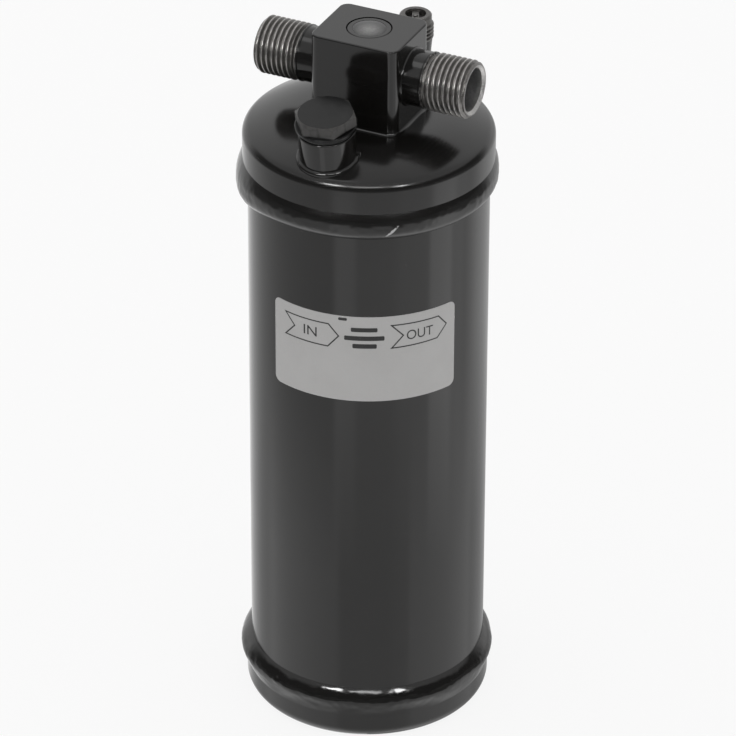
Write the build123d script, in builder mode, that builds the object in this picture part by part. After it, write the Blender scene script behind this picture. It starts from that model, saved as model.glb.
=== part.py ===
from build123d import *

import math
import os

# A filter drier for a cooling circuit: a welded steel can with a drilled head block on its lid.
# All lengths are in millimetres. The origin is the middle of the ring that the can stands on, and Z is up.
# The inlet faces -X, the outlet +X, the plugged port stands at the front (-Y), the charge valve at the back.

# Can
shell_radius = 38.1
shell_wall = 1.6
cap_wall = 1.5
cap_fit = 0.05
crown_height = 210.9
lid_seat_radius = 18.3
dome_radius = 45.6
lid_corner = 3.7
foot_corner = 4.3
foot_ring_width = 5.35
foot_recess = 2.5
recess_slope = 5.0
corner_gap = 0.8

# Weld beads between the caps and the shell
top_skirt_drop = 15.0
top_bead_height = 9.6
top_bead_swell = 2.75
bottom_bead_base = 9.2
bottom_bead_height = 10.0
bottom_bead_swell = 3.1
bead_lap = 4.4

# Label
label_drop = 52.3
label_height = 30.5
label_width = 62.7
label_middle = 23.05
label_thickness = 0.12
label_corner = 2.2

# Head block
block_length = 29.6
block_depth = 24.8
block_height = 28.9
block_corner = 3.0
block_edge = 0.5
braze_leg = 1.1

# Inlet and outlet fittings
port_height = 15.4
port_bore = 5.0
spigot_radius = 7.0
spigot_depth = 3.5
neck_radius = 8.85
neck_length = 5.8
ridge_radius = 9.1
ridge_length = 0.8
groove_radius = 8.1
groove_length = 1.4
thread_radius = 9.2
thread_length = 13.2
thread_lead = 1.0
mouth_radius = 6.9
mouth_depth = 8.0
mouth_bevel = 0.8
fitting_braze = 0.7

# Drillings in the head block
inlet_drop_radius = 3.0
inlet_wall = 0.95
inlet_reach = 1.9
chamber_radius = 4.2
riser_radius = 3.4
socket_depth = 8.0
braze_fit = 0.05

# Sight glass
glass_seat_radius = 7.2
glass_seat_depth = 4.8
glass_ring_fit = 0.03
glass_groove = 0.35
glass_groove_depth = 0.8
glass_ring_drop = 0.1
glass_radius = 5.2
glass_fit = 0.05
glass_lip = 0.6
glass_lip_height = 0.7
glass_rise = 0.9
glass_seal_height = 0.6
glass_seal_inset = 0.3

# Plugged port
plug_inset = 9.2
boss_lean = 8.0
boss_length = 9.35
boss_radius = 9.0
boss_edge = 0.4
boss_sink = 4.0
plug_thread_radius = 5.0
plug_thread_length = 6.8
plug_thread_lead = 0.6
plug_thread_fit = 0.05
boss_bore_depth = 7.6
port_hole_radius = 3.0
seal_height = 1.3
seal_radius = 8.7
seal_inner_radius = 5.6
seal_edge = 0.4
flange_radius = 9.7
flange_height = 1.2
hex_flats = 17.0
hex_height = 3.9
hex_turn = 9.5
hex_face_radius = 8.1
hex_bevel_angle = 30.0
boss_settle = 0.6
foot_braze = 1.3

# Charge valve
valve_inset = 7.6
valve_angle = 87.0
valve_rise = 20.25
valve_land_radius = 5.1
valve_land_length = 2.9
valve_bevel = 0.5
valve_thread_radius = 5.75
valve_thread_length = 5.0
valve_waist_length = 4.6
valve_root_radius = 5.0
valve_mouth_radius = 3.3
valve_mouth_depth = 5.0
valve_bore_radius = 2.75
valve_port_radius = 2.0

# Valve core, its pin and its spring
core_fit = 0.05
core_head_fit = 0.1
core_length = 7.5
core_drop = 2.2
tang_width = 2.2
tang_height = 1.2
tang_turn = 115.5
bridge_height = 1.2
core_cavity_radius = 1.95
core_floor = 1.5
core_seal_height = 1.2
core_seal_drop = 3.0
core_seal_depth = 0.35
pin_radius = 0.72
pin_fit = 0.05
pin_drop = 0.5
collar_radius = 1.8
collar_height = 0.7
stop_gap = 0.05
poppet_radius = 2.3
poppet_height = 1.1
pin_seal_height = 0.35
pin_seal_radius = 2.2
pin_spring_radius = 1.35
pin_spring_wire = 0.17
pin_spring_turns = 4

# Inside the can
tube_radius = 4.0
tube_wall = 0.8
tube_foot = 20.0
tube_fit = 0.3
screen_fit = 0.3
screen_wall = 1.0
screen_hole_radius = 2.4
screen_inner_ring = 13.0
screen_outer_ring = 26.0
screen_inner_count = 6
screen_outer_count = 12
stand_height = 56.0
pad_thickness = 6.0
bed_height = 82.0
bed_fit = 0.25
strainer_radius = 7.5
strainer_wall = 0.7
strainer_drop = 8.0
strainer_collar = 6.0
strainer_reach = 16.0
strainer_slots = 8
strainer_slot_width = 3.0
strainer_slot_height = 9.0
strainer_slot_base = 2.5
hold_spring_radius = 15.0
hold_spring_wire = 1.2
hold_spring_turns = 4

# Places worked out from the sizes above
front_angle = -90
plug_offset = shell_radius - plug_inset
valve_offset = shell_radius - valve_inset
label_base = crown_height - label_drop - label_height
cap_radius = shell_radius + cap_fit + cap_wall
cap_inner_radius = cap_radius - cap_wall
foot_inner_radius = cap_radius - foot_corner - foot_ring_width
shell_inner_radius = shell_radius - shell_wall
top_bead_top = crown_height - top_skirt_drop
top_bead_base = top_bead_top - top_bead_height
top_skirt_foot = top_bead_top - bead_lap
bottom_bead_top = bottom_bead_base + bottom_bead_height
bottom_skirt_top = bottom_bead_base + bead_lap
shell_base = foot_corner + corner_gap
block_top = crown_height + block_height
port_z = crown_height + port_height
block_face = block_length / 2
inlet_drop_offset = chamber_radius + inlet_wall + inlet_drop_radius
flange_base = boss_length + seal_height
flange_top = flange_base + flange_height
valve_rim = crown_height + valve_rise
valve_x = valve_offset * math.cos(math.radians(valve_angle))
valve_y = valve_offset * math.sin(math.radians(valve_angle))
lid_underside = crown_height - cap_wall
screen_radius = shell_inner_radius - screen_fit
bed_radius = shell_inner_radius - bed_fit
bed_hole_radius = tube_radius + tube_fit


def dome_height(distance):
    """Height of the lid's outer face at a distance from the can's axis."""
    beyond = max(distance - lid_seat_radius, 0)
    return crown_height - dome_radius + math.sqrt(dome_radius**2 - beyond**2)


def dome_slope(distance):
    """Slope of the lid in degrees at a distance from the can's axis."""
    return math.degrees(math.asin(max(distance - lid_seat_radius, 0) / dome_radius))


def upright(x, y):
    """Plane for a section turned about the vertical line through x, y: across is radius, up is height."""
    return Plane(origin=(x, y, 0), x_dir=(1, 0, 0), z_dir=(0, -1, 0))


def vertical(x, y):
    """The vertical line through x, y."""
    return Axis((x, y, 0), (0, 0, 1))


def lid_section(radius, corner, crown, dome, foot):
    """Half section of the lid: flat seat, dome, rounded corner and straight skirt."""
    swing = math.degrees(math.asin((radius - lid_seat_radius) / dome))
    with BuildSketch(Plane.XZ) as section:
        with BuildLine():
            Line((0, crown), (lid_seat_radius, crown))
            arc = CenterArc((lid_seat_radius, crown - dome), dome, 90, -swing)
            Polyline(arc @ 1, (radius, foot), (0, foot), (0, crown))
        make_face()
        fillet(section.vertices().group_by(Axis.X)[-1].sort_by(Axis.Y)[-1], corner)
    return section.sketch


def foot_section(radius, corner, lift, top):
    """Half section of the bottom cap: straight skirt, rounded corner, standing ring and raised middle."""
    with BuildSketch(Plane.XZ) as section:
        with BuildLine():
            Polyline(
                (0, foot_recess + lift),
                (foot_inner_radius - recess_slope, foot_recess + lift),
                (foot_inner_radius, lift),
                (radius, lift),
                (radius, top),
                (0, top),
                (0, foot_recess + lift),
            )
        make_face()
        fillet(section.vertices().group_by(Axis.X)[-1].sort_by(Axis.Y)[0], corner)
    return section.sketch


def bead_section(base, top, swell, lap_low, lap_high):
    """Half section of a weld bead that laps from the shell up or down onto a cap's skirt."""
    inner = [(shell_radius, base), (shell_radius, lap_low), (cap_radius, lap_low), (cap_radius, top)]
    if lap_high:
        inner = [(cap_radius, base), (cap_radius, lap_high), (shell_radius, lap_high), (shell_radius, top)]
    middle = (shell_radius + swell, (base + top) / 2)
    with BuildSketch(Plane.XZ) as section:
        with BuildLine():
            Polyline(*inner)
            ThreePointArc(inner[-1], middle, inner[0])
        make_face()
    return section.sketch


def screen_holes():
    """Two rings of round holes in the perforated screens."""
    for ring, count in ((screen_inner_ring, screen_inner_count), (screen_outer_ring, screen_outer_count)):
        with PolarLocations(ring, count):
            Circle(screen_hole_radius, mode=Mode.SUBTRACT)


def save(builder, name):
    """Names a finished piece and writes it."""
    builder.part.label = name
    export_step(builder.part, f"parts/{name}.step")


os.makedirs("parts", exist_ok=True)

# Shell: a drawn steel tube, its ends inside the two caps
shell_top = dome_height(cap_radius) - lid_corner
with BuildPart() as shell_tube:
    with BuildSketch(Plane.XY.offset(shell_base)):
        Circle(shell_radius)
        Circle(shell_inner_radius, mode=Mode.SUBTRACT)
    extrude(amount=shell_top - shell_base)
save(shell_tube, "shell_tube")

# Lid: one pressing with a domed top, pierced for the tube, the inlet drop, the plugged port and the valve
lid_outside = lid_section(cap_radius, lid_corner, crown_height, dome_radius, top_skirt_foot)
lid_inside = lid_section(
    cap_inner_radius, lid_corner - cap_wall, lid_underside, dome_radius - cap_wall, top_skirt_foot - cap_wall
)
with BuildPart() as top_cap:
    revolve(lid_outside, axis=Axis.Z)
    revolve(lid_inside, axis=Axis.Z, mode=Mode.SUBTRACT)
    for x, y, radius in (
        (0, 0, tube_radius + tube_fit),
        (-inlet_drop_offset, 0, inlet_drop_radius),
        (0, -plug_offset, port_hole_radius),
        (valve_x, valve_y, valve_port_radius),
    ):
        with BuildSketch(Plane.XY.offset(top_skirt_foot)):
            with Locations((x, y)):
                Circle(radius)
        extrude(amount=crown_height - top_skirt_foot + cap_wall, mode=Mode.SUBTRACT)
save(top_cap, "top_cap")

# Bottom cap: one pressing that stands on a flat ring round its raised middle
with BuildPart() as bottom_cap:
    revolve(foot_section(cap_radius, foot_corner, 0, bottom_skirt_top), axis=Axis.Z)
    revolve(
        foot_section(cap_inner_radius, foot_corner - cap_wall, cap_wall, bottom_skirt_top + cap_wall),
        axis=Axis.Z,
        mode=Mode.SUBTRACT,
    )
save(bottom_cap, "bottom_cap")

# Weld beads: each bridges the edge of a cap's skirt and the shell
with BuildPart() as top_weld_bead:
    revolve(bead_section(top_bead_base, top_bead_top, top_bead_swell, top_skirt_foot, None), axis=Axis.Z)
save(top_weld_bead, "top_weld_bead")

with BuildPart() as bottom_weld_bead:
    revolve(
        bead_section(bottom_bead_base, bottom_bead_top, bottom_bead_swell, None, bottom_skirt_top),
        axis=Axis.Z,
    )
save(bottom_weld_bead, "bottom_weld_bead")

# Label: a thin sheet stuck to the shell, its corners rounded
label_arc = math.degrees(label_width / shell_radius)
label_start = front_angle + label_middle - label_arc / 2
with BuildPart() as label:
    with BuildSketch(Plane.XZ.rotated((0, 0, label_start))):
        with Locations((shell_radius + label_thickness / 2, label_base + label_height / 2)):
            Rectangle(label_thickness, label_height)
    revolve(axis=Axis.Z, revolution_arc=label_arc)
    ends = label.edges().filter_by(lambda e: abs(e.length - label_thickness) < label_thickness / 10)
    fillet(ends, label_corner)
save(label, "label")

# Head block: a rounded bar, drilled for the two ports, the drop into the can, the riser and the sight glass
with BuildPart() as head_block:
    with BuildSketch(Plane.XY.offset(crown_height)):
        RectangleRounded(block_length, block_depth, block_corner)
    extrude(amount=block_height)
    fillet(head_block.faces().sort_by(Axis.Z)[-1].edges(), block_edge)
    with Locations(Plane(origin=(0, 0, block_top), z_dir=(0, 0, 1))):
        CounterBoreHole(
            chamber_radius, glass_seat_radius, glass_seat_depth, depth=block_height - port_height + port_bore
        )
    with Locations(Plane(origin=(0, 0, crown_height), z_dir=(0, 0, -1))):
        CounterBoreHole(riser_radius, tube_radius + braze_fit, socket_depth, depth=port_height)
    with Locations(Plane(origin=(-inlet_drop_offset, 0, crown_height), z_dir=(0, 0, -1))):
        Hole(inlet_drop_radius, depth=port_height)
    with Locations(Plane(origin=(block_face, 0, port_z), z_dir=(1, 0, 0))):
        CounterBoreHole(port_bore, spigot_radius + braze_fit, spigot_depth, depth=block_face)
    with Locations(Plane(origin=(-block_face, 0, port_z), z_dir=(-1, 0, 0))):
        CounterBoreHole(
            port_bore,
            spigot_radius + braze_fit,
            spigot_depth,
            depth=block_face - inlet_drop_offset + inlet_reach,
        )
save(head_block, "head_block")

# Braze fillet round the block's foot
with BuildPart() as block_braze:
    with BuildSketch(Plane.XY.offset(crown_height)):
        RectangleRounded(
            block_length + 2 * braze_leg, block_depth + 2 * braze_leg, block_corner + braze_leg
        )
    extrude(amount=braze_leg, taper=45)
    with BuildSketch(Plane.XY.offset(crown_height)):
        RectangleRounded(block_length, block_depth, block_corner)
    extrude(amount=braze_leg, mode=Mode.SUBTRACT)
save(block_braze, "block_braze")

# Inlet and outlet fittings: turned stubs, each with a spigot in the block, a neck, a groove and a thread
ridge_start = block_face + neck_length
groove_start = ridge_start + ridge_length
thread_start = groove_start + groove_length
port_end = thread_start + thread_length
spigot_end = block_face - spigot_depth
for name, side in (("inlet", -1), ("outlet", 1)):
    port_plane = Plane(origin=(0, 0, port_z), x_dir=(side, 0, 0), z_dir=(0, -side, 0))
    port_axis = Axis((0, 0, port_z), (side, 0, 0))
    with BuildPart() as fitting:
        with BuildSketch(port_plane):
            with BuildLine():
                Polyline(
                    (spigot_end, port_bore),
                    (spigot_end, spigot_radius),
                    (block_face, spigot_radius),
                    (block_face, neck_radius),
                    (ridge_start, neck_radius),
                    (ridge_start + (ridge_radius - neck_radius), ridge_radius),
                    (groove_start, ridge_radius),
                    (groove_start, groove_radius),
                    (thread_start - (thread_radius - groove_radius) / 2, groove_radius),
                    (thread_start, thread_radius),
                    (port_end - thread_lead, thread_radius),
                    (port_end, thread_radius - thread_lead),
                    (port_end, mouth_radius + mouth_bevel),
                    (port_end - mouth_bevel, mouth_radius),
                    (port_end - mouth_depth, mouth_radius),
                    (port_end - mouth_depth - (mouth_radius - port_bore) / 2, port_bore),
                    (spigot_end, port_bore),
                )
            make_face()
        revolve(axis=port_axis)
    save(fitting, f"{name}_fitting")

    ring_plane = Plane(origin=(side * block_face, 0, port_z), z_dir=(side, 0, 0))
    with BuildPart() as fitting_ring:
        with Locations(ring_plane):
            Torus(neck_radius, fitting_braze)
        with BuildSketch(ring_plane):
            Circle(neck_radius)
        extrude(amount=2 * fitting_braze, both=True, mode=Mode.SUBTRACT)
        split(bisect_by=ring_plane, keep=Keep.TOP)
    save(fitting_ring, f"{name}_braze")

# Sight glass: a stepped ring in the block's top, a seal under it and a crowned glass on its inner lip
glass_floor = block_top - glass_seat_depth
ring_base = glass_floor + glass_seal_height
ring_top = block_top - glass_ring_drop
ring_radius = glass_seat_radius - glass_ring_fit
with BuildPart() as sight_glass_ring:
    with BuildSketch(Plane.XZ):
        with BuildLine():
            Polyline(
                (glass_radius - glass_lip, ring_base),
                (ring_radius, ring_base),
                (ring_radius, ring_top - glass_groove_depth),
                (glass_seat_radius - glass_groove, ring_top - glass_groove_depth),
                (glass_seat_radius - glass_groove, ring_top),
                (glass_radius + glass_fit, ring_top),
                (glass_radius + glass_fit, ring_base + glass_lip_height),
                (glass_radius - glass_lip, ring_base + glass_lip_height),
                (glass_radius - glass_lip, ring_base),
            )
        make_face()
    revolve(axis=Axis.Z)
save(sight_glass_ring, "sight_glass_ring")

glass_edge = ring_top - glass_rise / 2
with BuildPart() as sight_glass_lens:
    with BuildSketch(Plane.XZ):
        with BuildLine():
            Polyline(
                (0, ring_base + glass_lip_height),
                (glass_radius, ring_base + glass_lip_height),
                (glass_radius, glass_edge),
            )
            dome = RadiusArc(
                (glass_radius, glass_edge),
                (0, glass_edge + glass_rise),
                -(glass_radius**2 + glass_rise**2) / (2 * glass_rise),
            )
            Line(dome @ 1, (0, ring_base + glass_lip_height))
        make_face()
    revolve(axis=Axis.Z)
save(sight_glass_lens, "sight_glass_lens")

with BuildPart() as sight_glass_seal:
    with BuildSketch(Plane.XY.offset(glass_floor)):
        Circle(ring_radius - glass_seal_inset)
        Circle(glass_radius - glass_lip, mode=Mode.SUBTRACT)
    extrude(amount=glass_seal_height)
save(sight_glass_seal, "sight_glass_seal")

# Plug boss: a turned cylinder that stands on the lid's slope and leans outwards, heights along its own axis
lid_envelope = revolve(lid_outside, axis=Axis.Z)
lean = math.radians(boss_lean)
plug_foot = (0, -plug_offset, dome_height(plug_offset))
plug_axis = Axis(plug_foot, (0, -math.sin(lean), math.cos(lean)))
plug_plane = Plane(origin=plug_foot, x_dir=(1, 0, 0), z_dir=(0, -math.cos(lean), -math.sin(lean)))
plug_base = Plane(origin=plug_foot, x_dir=(1, 0, 0), z_dir=(0, -math.sin(lean), math.cos(lean)))
with BuildPart() as plug_boss:
    with BuildSketch(plug_plane):
        with BuildLine():
            Polyline(
                (port_hole_radius, -boss_sink),
                (boss_radius, -boss_sink),
                (boss_radius, boss_length - boss_edge),
                (boss_radius - boss_edge, boss_length),
                (plug_thread_radius + plug_thread_fit, boss_length),
                (plug_thread_radius + plug_thread_fit, boss_length - boss_bore_depth),
                (port_hole_radius, boss_length - boss_bore_depth),
                (port_hole_radius, -boss_sink),
            )
        make_face()
    revolve(axis=plug_axis)
    add(lid_envelope, mode=Mode.SUBTRACT)
save(plug_boss, "plug_boss")

# Port plug: hexagon with bevelled corners, thin round flange and threaded shank
with BuildPart() as port_plug:
    with BuildSketch(plug_base.offset(flange_top)):
        RegularPolygon(hex_flats / 2, 6, major_radius=False, rotation=hex_turn)
    extrude(amount=hex_height)
    bevel_run = hex_flats - hex_face_radius
    bevel_fall = bevel_run * math.tan(math.radians(hex_bevel_angle))
    with BuildSketch(plug_plane):
        with BuildLine():
            Polyline(
                (0, flange_top - bevel_fall),
                (hex_flats, flange_top + hex_height - bevel_fall),
                (hex_face_radius, flange_top + hex_height),
                (0, flange_top + hex_height),
                (0, flange_top - bevel_fall),
            )
        make_face()
    revolve(axis=plug_axis, mode=Mode.INTERSECT)
    with BuildSketch(plug_base.offset(flange_base)):
        Circle(flange_radius)
    extrude(amount=flange_height)
    with BuildSketch(plug_plane):
        with BuildLine():
            Polyline(
                (0, flange_base),
                (plug_thread_radius, flange_base),
                (plug_thread_radius, flange_base - plug_thread_length + plug_thread_lead),
                (plug_thread_radius - plug_thread_lead, flange_base - plug_thread_length),
                (0, flange_base - plug_thread_length),
                (0, flange_base),
            )
        make_face()
    revolve(axis=plug_axis)
save(port_plug, "port_plug")

with BuildPart() as plug_seal:
    with BuildSketch(plug_plane):
        with Locations(((seal_radius + seal_inner_radius) / 2, boss_length + seal_height / 2)):
            RectangleRounded(seal_radius - seal_inner_radius, seal_height, seal_edge)
    revolve(axis=plug_axis)
save(plug_seal, "plug_seal")

# Charge valve body: a threaded stem with a stepped bore for its core
valve_plane = upright(valve_x, valve_y)
valve_axis = vertical(valve_x, valve_y)
thread_top = valve_rim - valve_land_length
thread_foot = thread_top - valve_thread_length
waist_foot = thread_foot - valve_waist_length
core_seat = valve_rim - valve_mouth_depth
thread_step = valve_thread_radius - valve_land_radius
with BuildPart() as charge_valve_body:
    with BuildSketch(valve_plane):
        with BuildLine():
            Polyline(
                (valve_mouth_radius, valve_rim),
                (valve_land_radius - valve_bevel, valve_rim),
                (valve_land_radius, valve_rim - valve_bevel),
                (valve_land_radius, thread_top),
                (valve_thread_radius, thread_top - thread_step),
                (valve_thread_radius, thread_foot),
                (valve_thread_radius - thread_step / 2, thread_foot - thread_step / 2),
                (valve_root_radius, waist_foot),
                (valve_root_radius, top_bead_top),
                (valve_bore_radius, top_bead_top),
                (valve_bore_radius, core_seat),
                (valve_mouth_radius, core_seat),
                (valve_mouth_radius, valve_rim),
            )
        make_face()
    revolve(axis=valve_axis)
    add(lid_envelope, mode=Mode.SUBTRACT)
save(charge_valve_body, "charge_valve_body")

# Braze rings round the feet of the plug boss and the charge valve, tipped with the lid's slope
boss_ring = (0, -plug_offset, boss_radius, boss_settle)
valve_ring = (valve_x, valve_y, valve_root_radius, 0)
for name, ring, section, axis, low, high, body in (
    ("boss_braze", boss_ring, plug_plane, plug_axis, -boss_sink, boss_length, plug_boss),
    ("valve_braze", valve_ring, valve_plane, valve_axis, top_bead_top, valve_rim, charge_valve_body),
):
    x, y, foot_radius, settle = ring
    distance = math.hypot(x, y)
    slope = math.radians(dome_slope(distance))
    tip = (x / distance * math.sin(slope), y / distance * math.sin(slope), math.cos(slope))
    with BuildPart() as foot_ring:
        with Locations(Plane(origin=(x, y, dome_height(distance)), z_dir=tip).offset(-settle)):
            Torus(foot_radius, foot_braze)
        add(lid_envelope, mode=Mode.SUBTRACT)
        with BuildSketch(section):
            with BuildLine():
                Polyline(
                    (0, low),
                    (foot_radius - foot_braze / 2, low),
                    (foot_radius - foot_braze / 2, high),
                    (0, high),
                    (0, low),
                )
            make_face()
        revolve(axis=axis, mode=Mode.SUBTRACT)
        add(body.part, mode=Mode.SUBTRACT)
    save(foot_ring, name)

# Valve core: a cartridge with a bar across its head, a bridge over the spring and a floor under it
core_top = valve_rim - core_drop
core_base = core_seat - core_length
cavity_top = core_top - bridge_height
cavity_base = core_base + core_floor
core_radius = valve_bore_radius - core_fit
head_radius = valve_mouth_radius - core_head_fit
pin_hole_radius = pin_radius + pin_fit
seal_groove_top = core_seat - core_seal_drop
with BuildPart() as valve_core:
    with BuildSketch(valve_plane):
        with BuildLine():
            Polyline(
                (pin_hole_radius, core_top),
                (head_radius, core_top),
                (head_radius, core_seat),
                (core_radius, core_seat),
                (core_radius, seal_groove_top),
                (core_radius - core_seal_depth, seal_groove_top),
                (core_radius - core_seal_depth, seal_groove_top - core_seal_height),
                (core_radius, seal_groove_top - core_seal_height),
                (core_radius, core_base),
                (pin_hole_radius, core_base),
                (pin_hole_radius, cavity_base),
                (core_cavity_radius, cavity_base),
                (core_cavity_radius, cavity_top),
                (pin_hole_radius, cavity_top),
                (pin_hole_radius, core_top),
            )
        make_face()
    revolve(axis=valve_axis)
    with BuildSketch(Plane((valve_x, valve_y, core_top))):
        Rectangle(2 * head_radius, tang_width, rotation=tang_turn)
        Circle(head_radius, mode=Mode.INTERSECT)
        Circle(pin_hole_radius, mode=Mode.SUBTRACT)
    extrude(amount=tang_height)
save(valve_core, "valve_core")

with BuildPart() as valve_core_seal:
    with BuildSketch(Plane((valve_x, valve_y, seal_groove_top - core_seal_height))):
        Circle(valve_bore_radius)
        Circle(core_radius - core_seal_depth, mode=Mode.SUBTRACT)
    extrude(amount=core_seal_height)
save(valve_core_seal, "valve_core_seal")

# Valve pin: a stem with a collar under the bridge and a poppet that closes the core's foot
pin_top = valve_rim - pin_drop
collar_top = cavity_top - stop_gap
pin_seal_top = core_base - stop_gap
poppet_top = pin_seal_top - pin_seal_height
with BuildPart() as valve_pin:
    with BuildSketch(valve_plane):
        with BuildLine():
            Polyline(
                (0, pin_top),
                (pin_radius, pin_top),
                (pin_radius, collar_top),
                (collar_radius, collar_top),
                (collar_radius, collar_top - collar_height),
                (pin_radius, collar_top - collar_height),
                (pin_radius, poppet_top),
                (poppet_radius, poppet_top),
                (poppet_radius, poppet_top - poppet_height),
                (0, poppet_top - poppet_height),
                (0, pin_top),
            )
        make_face()
    revolve(axis=valve_axis)
    fillet(valve_pin.faces().sort_by(Axis.Z)[-1].edges(), pin_radius / 3)
save(valve_pin, "valve_pin")

with BuildPart() as valve_pin_seal:
    with BuildSketch(Plane((valve_x, valve_y, poppet_top))):
        Circle(pin_seal_radius)
        Circle(pin_radius, mode=Mode.SUBTRACT)
    extrude(amount=pin_seal_height)
save(valve_pin_seal, "valve_pin_seal")

pin_spring_base = cavity_base + pin_spring_wire + stop_gap
pin_spring_length = collar_top - collar_height - pin_spring_wire - stop_gap - pin_spring_base
with BuildPart() as valve_spring:
    with BuildLine() as pin_coil:
        Helix(
            pitch=pin_spring_length / pin_spring_turns,
            height=pin_spring_length,
            radius=pin_spring_radius,
            center=(valve_x, valve_y, pin_spring_base),
        )
    with BuildSketch(Plane(origin=pin_coil.line @ 0, z_dir=pin_coil.line % 0)):
        Circle(pin_spring_wire)
    sweep(path=pin_coil.line, is_frenet=True)
save(valve_spring, "valve_spring")

# Pickup tube: from its socket in the head block down to the strainer
with BuildPart() as pickup_tube:
    with BuildSketch(Plane.XY.offset(tube_foot)):
        Circle(tube_radius)
        Circle(tube_radius - tube_wall, mode=Mode.SUBTRACT)
    extrude(amount=crown_height + socket_depth - tube_foot)
save(pickup_tube, "pickup_tube")

# Strainer: a slotted cup that grips the tube's foot with its collar
strainer_base = tube_foot - strainer_drop
strainer_top = strainer_base + strainer_reach
with BuildPart() as pickup_strainer:
    with BuildSketch(Plane.XZ):
        with BuildLine():
            Polyline(
                (0, strainer_base),
                (strainer_radius, strainer_base),
                (strainer_radius, strainer_top),
                (tube_radius + strainer_wall, strainer_top),
                (tube_radius + strainer_wall, strainer_top + strainer_collar),
                (tube_radius, strainer_top + strainer_collar),
                (tube_radius, strainer_top - strainer_wall),
                (strainer_radius - strainer_wall, strainer_top - strainer_wall),
                (strainer_radius - strainer_wall, strainer_base + strainer_wall),
                (0, strainer_base + strainer_wall),
                (0, strainer_base),
            )
        make_face()
    revolve(axis=Axis.Z)
    for index in range(strainer_slots):
        turn = index * 360 / strainer_slots
        slot_plane = Plane(
            origin=(0, 0, strainer_base + strainer_slot_base + strainer_slot_height / 2),
            x_dir=(-math.sin(math.radians(turn)), math.cos(math.radians(turn)), 0),
            z_dir=(math.cos(math.radians(turn)), math.sin(math.radians(turn)), 0),
        )
        with BuildSketch(slot_plane.offset(tube_radius + strainer_wall)):
            Rectangle(strainer_slot_width, strainer_slot_height)
        extrude(amount=strainer_radius, mode=Mode.SUBTRACT)
save(pickup_strainer, "pickup_strainer")

# Filter stack on the pickup tube: a standing screen, a pad, the drying bed, a pad, a screen and a spring
stand_top = cap_wall + stand_height
with BuildPart() as lower_screen:
    with BuildSketch(Plane.XY.offset(stand_top - screen_wall)):
        Circle(screen_radius)
        Circle(bed_hole_radius, mode=Mode.SUBTRACT)
        screen_holes()
    extrude(amount=screen_wall)
    with BuildSketch(Plane.XY.offset(cap_wall)):
        Circle(screen_radius - foot_corner)
        Circle(screen_radius - foot_corner - screen_wall, mode=Mode.SUBTRACT)
    extrude(amount=stand_height - screen_wall)
save(lower_screen, "lower_screen")

lower_pad_top = stand_top + pad_thickness
bed_top = lower_pad_top + bed_height
upper_pad_top = bed_top + pad_thickness
for name, base, top in (
    ("lower_pad", stand_top, lower_pad_top),
    ("drying_bed", lower_pad_top, bed_top),
    ("upper_pad", bed_top, upper_pad_top),
):
    with BuildPart() as layer:
        with BuildSketch(Plane.XY.offset(base)):
            Circle(bed_radius)
            Circle(bed_hole_radius, mode=Mode.SUBTRACT)
        extrude(amount=top - base)
    save(layer, name)

with BuildPart() as upper_screen:
    with BuildSketch(Plane.XY.offset(upper_pad_top)):
        Circle(screen_radius)
        Circle(bed_hole_radius, mode=Mode.SUBTRACT)
        screen_holes()
    extrude(amount=screen_wall)
save(upper_screen, "upper_screen")

hold_spring_base = upper_pad_top + screen_wall + hold_spring_wire
hold_spring_length = lid_underside - hold_spring_wire - hold_spring_base
with BuildPart() as hold_down_spring:
    with BuildLine() as hold_coil:
        Helix(
            pitch=hold_spring_length / hold_spring_turns,
            height=hold_spring_length,
            radius=hold_spring_radius,
            center=(0, 0, hold_spring_base),
        )
    with BuildSketch(Plane(origin=hold_coil.line @ 0, z_dir=hold_coil.line % 0)):
        Circle(hold_spring_wire)
    sweep(path=hold_coil.line, is_frenet=True)
save(hold_down_spring, "hold_down_spring")
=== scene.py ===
import logging
import math
from collections.abc import Callable, Iterable, Sequence
from dataclasses import dataclass, field
from enum import Enum

import bmesh
import bpy
from mathutils import Matrix, Vector, noise


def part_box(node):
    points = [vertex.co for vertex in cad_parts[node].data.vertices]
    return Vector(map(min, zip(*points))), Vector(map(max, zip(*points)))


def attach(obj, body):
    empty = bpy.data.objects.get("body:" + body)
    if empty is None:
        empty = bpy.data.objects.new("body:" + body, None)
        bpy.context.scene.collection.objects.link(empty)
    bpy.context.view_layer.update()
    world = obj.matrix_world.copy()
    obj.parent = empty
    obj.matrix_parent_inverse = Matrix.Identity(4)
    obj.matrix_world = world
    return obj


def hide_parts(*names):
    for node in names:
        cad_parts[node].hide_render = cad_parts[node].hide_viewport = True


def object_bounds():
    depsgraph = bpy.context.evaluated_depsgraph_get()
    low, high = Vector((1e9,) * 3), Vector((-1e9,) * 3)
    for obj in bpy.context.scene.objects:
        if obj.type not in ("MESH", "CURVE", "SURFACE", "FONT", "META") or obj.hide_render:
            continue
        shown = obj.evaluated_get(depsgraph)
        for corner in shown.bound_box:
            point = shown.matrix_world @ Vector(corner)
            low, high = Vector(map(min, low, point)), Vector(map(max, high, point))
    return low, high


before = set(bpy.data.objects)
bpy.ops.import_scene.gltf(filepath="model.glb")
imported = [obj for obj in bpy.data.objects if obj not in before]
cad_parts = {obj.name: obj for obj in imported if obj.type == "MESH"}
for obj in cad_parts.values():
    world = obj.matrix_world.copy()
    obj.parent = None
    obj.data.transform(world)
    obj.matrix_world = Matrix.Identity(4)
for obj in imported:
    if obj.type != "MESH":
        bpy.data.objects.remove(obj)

LOG = logging.getLogger("filter_drier")
CAD_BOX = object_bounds()
CANISTER = "canister"

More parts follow.
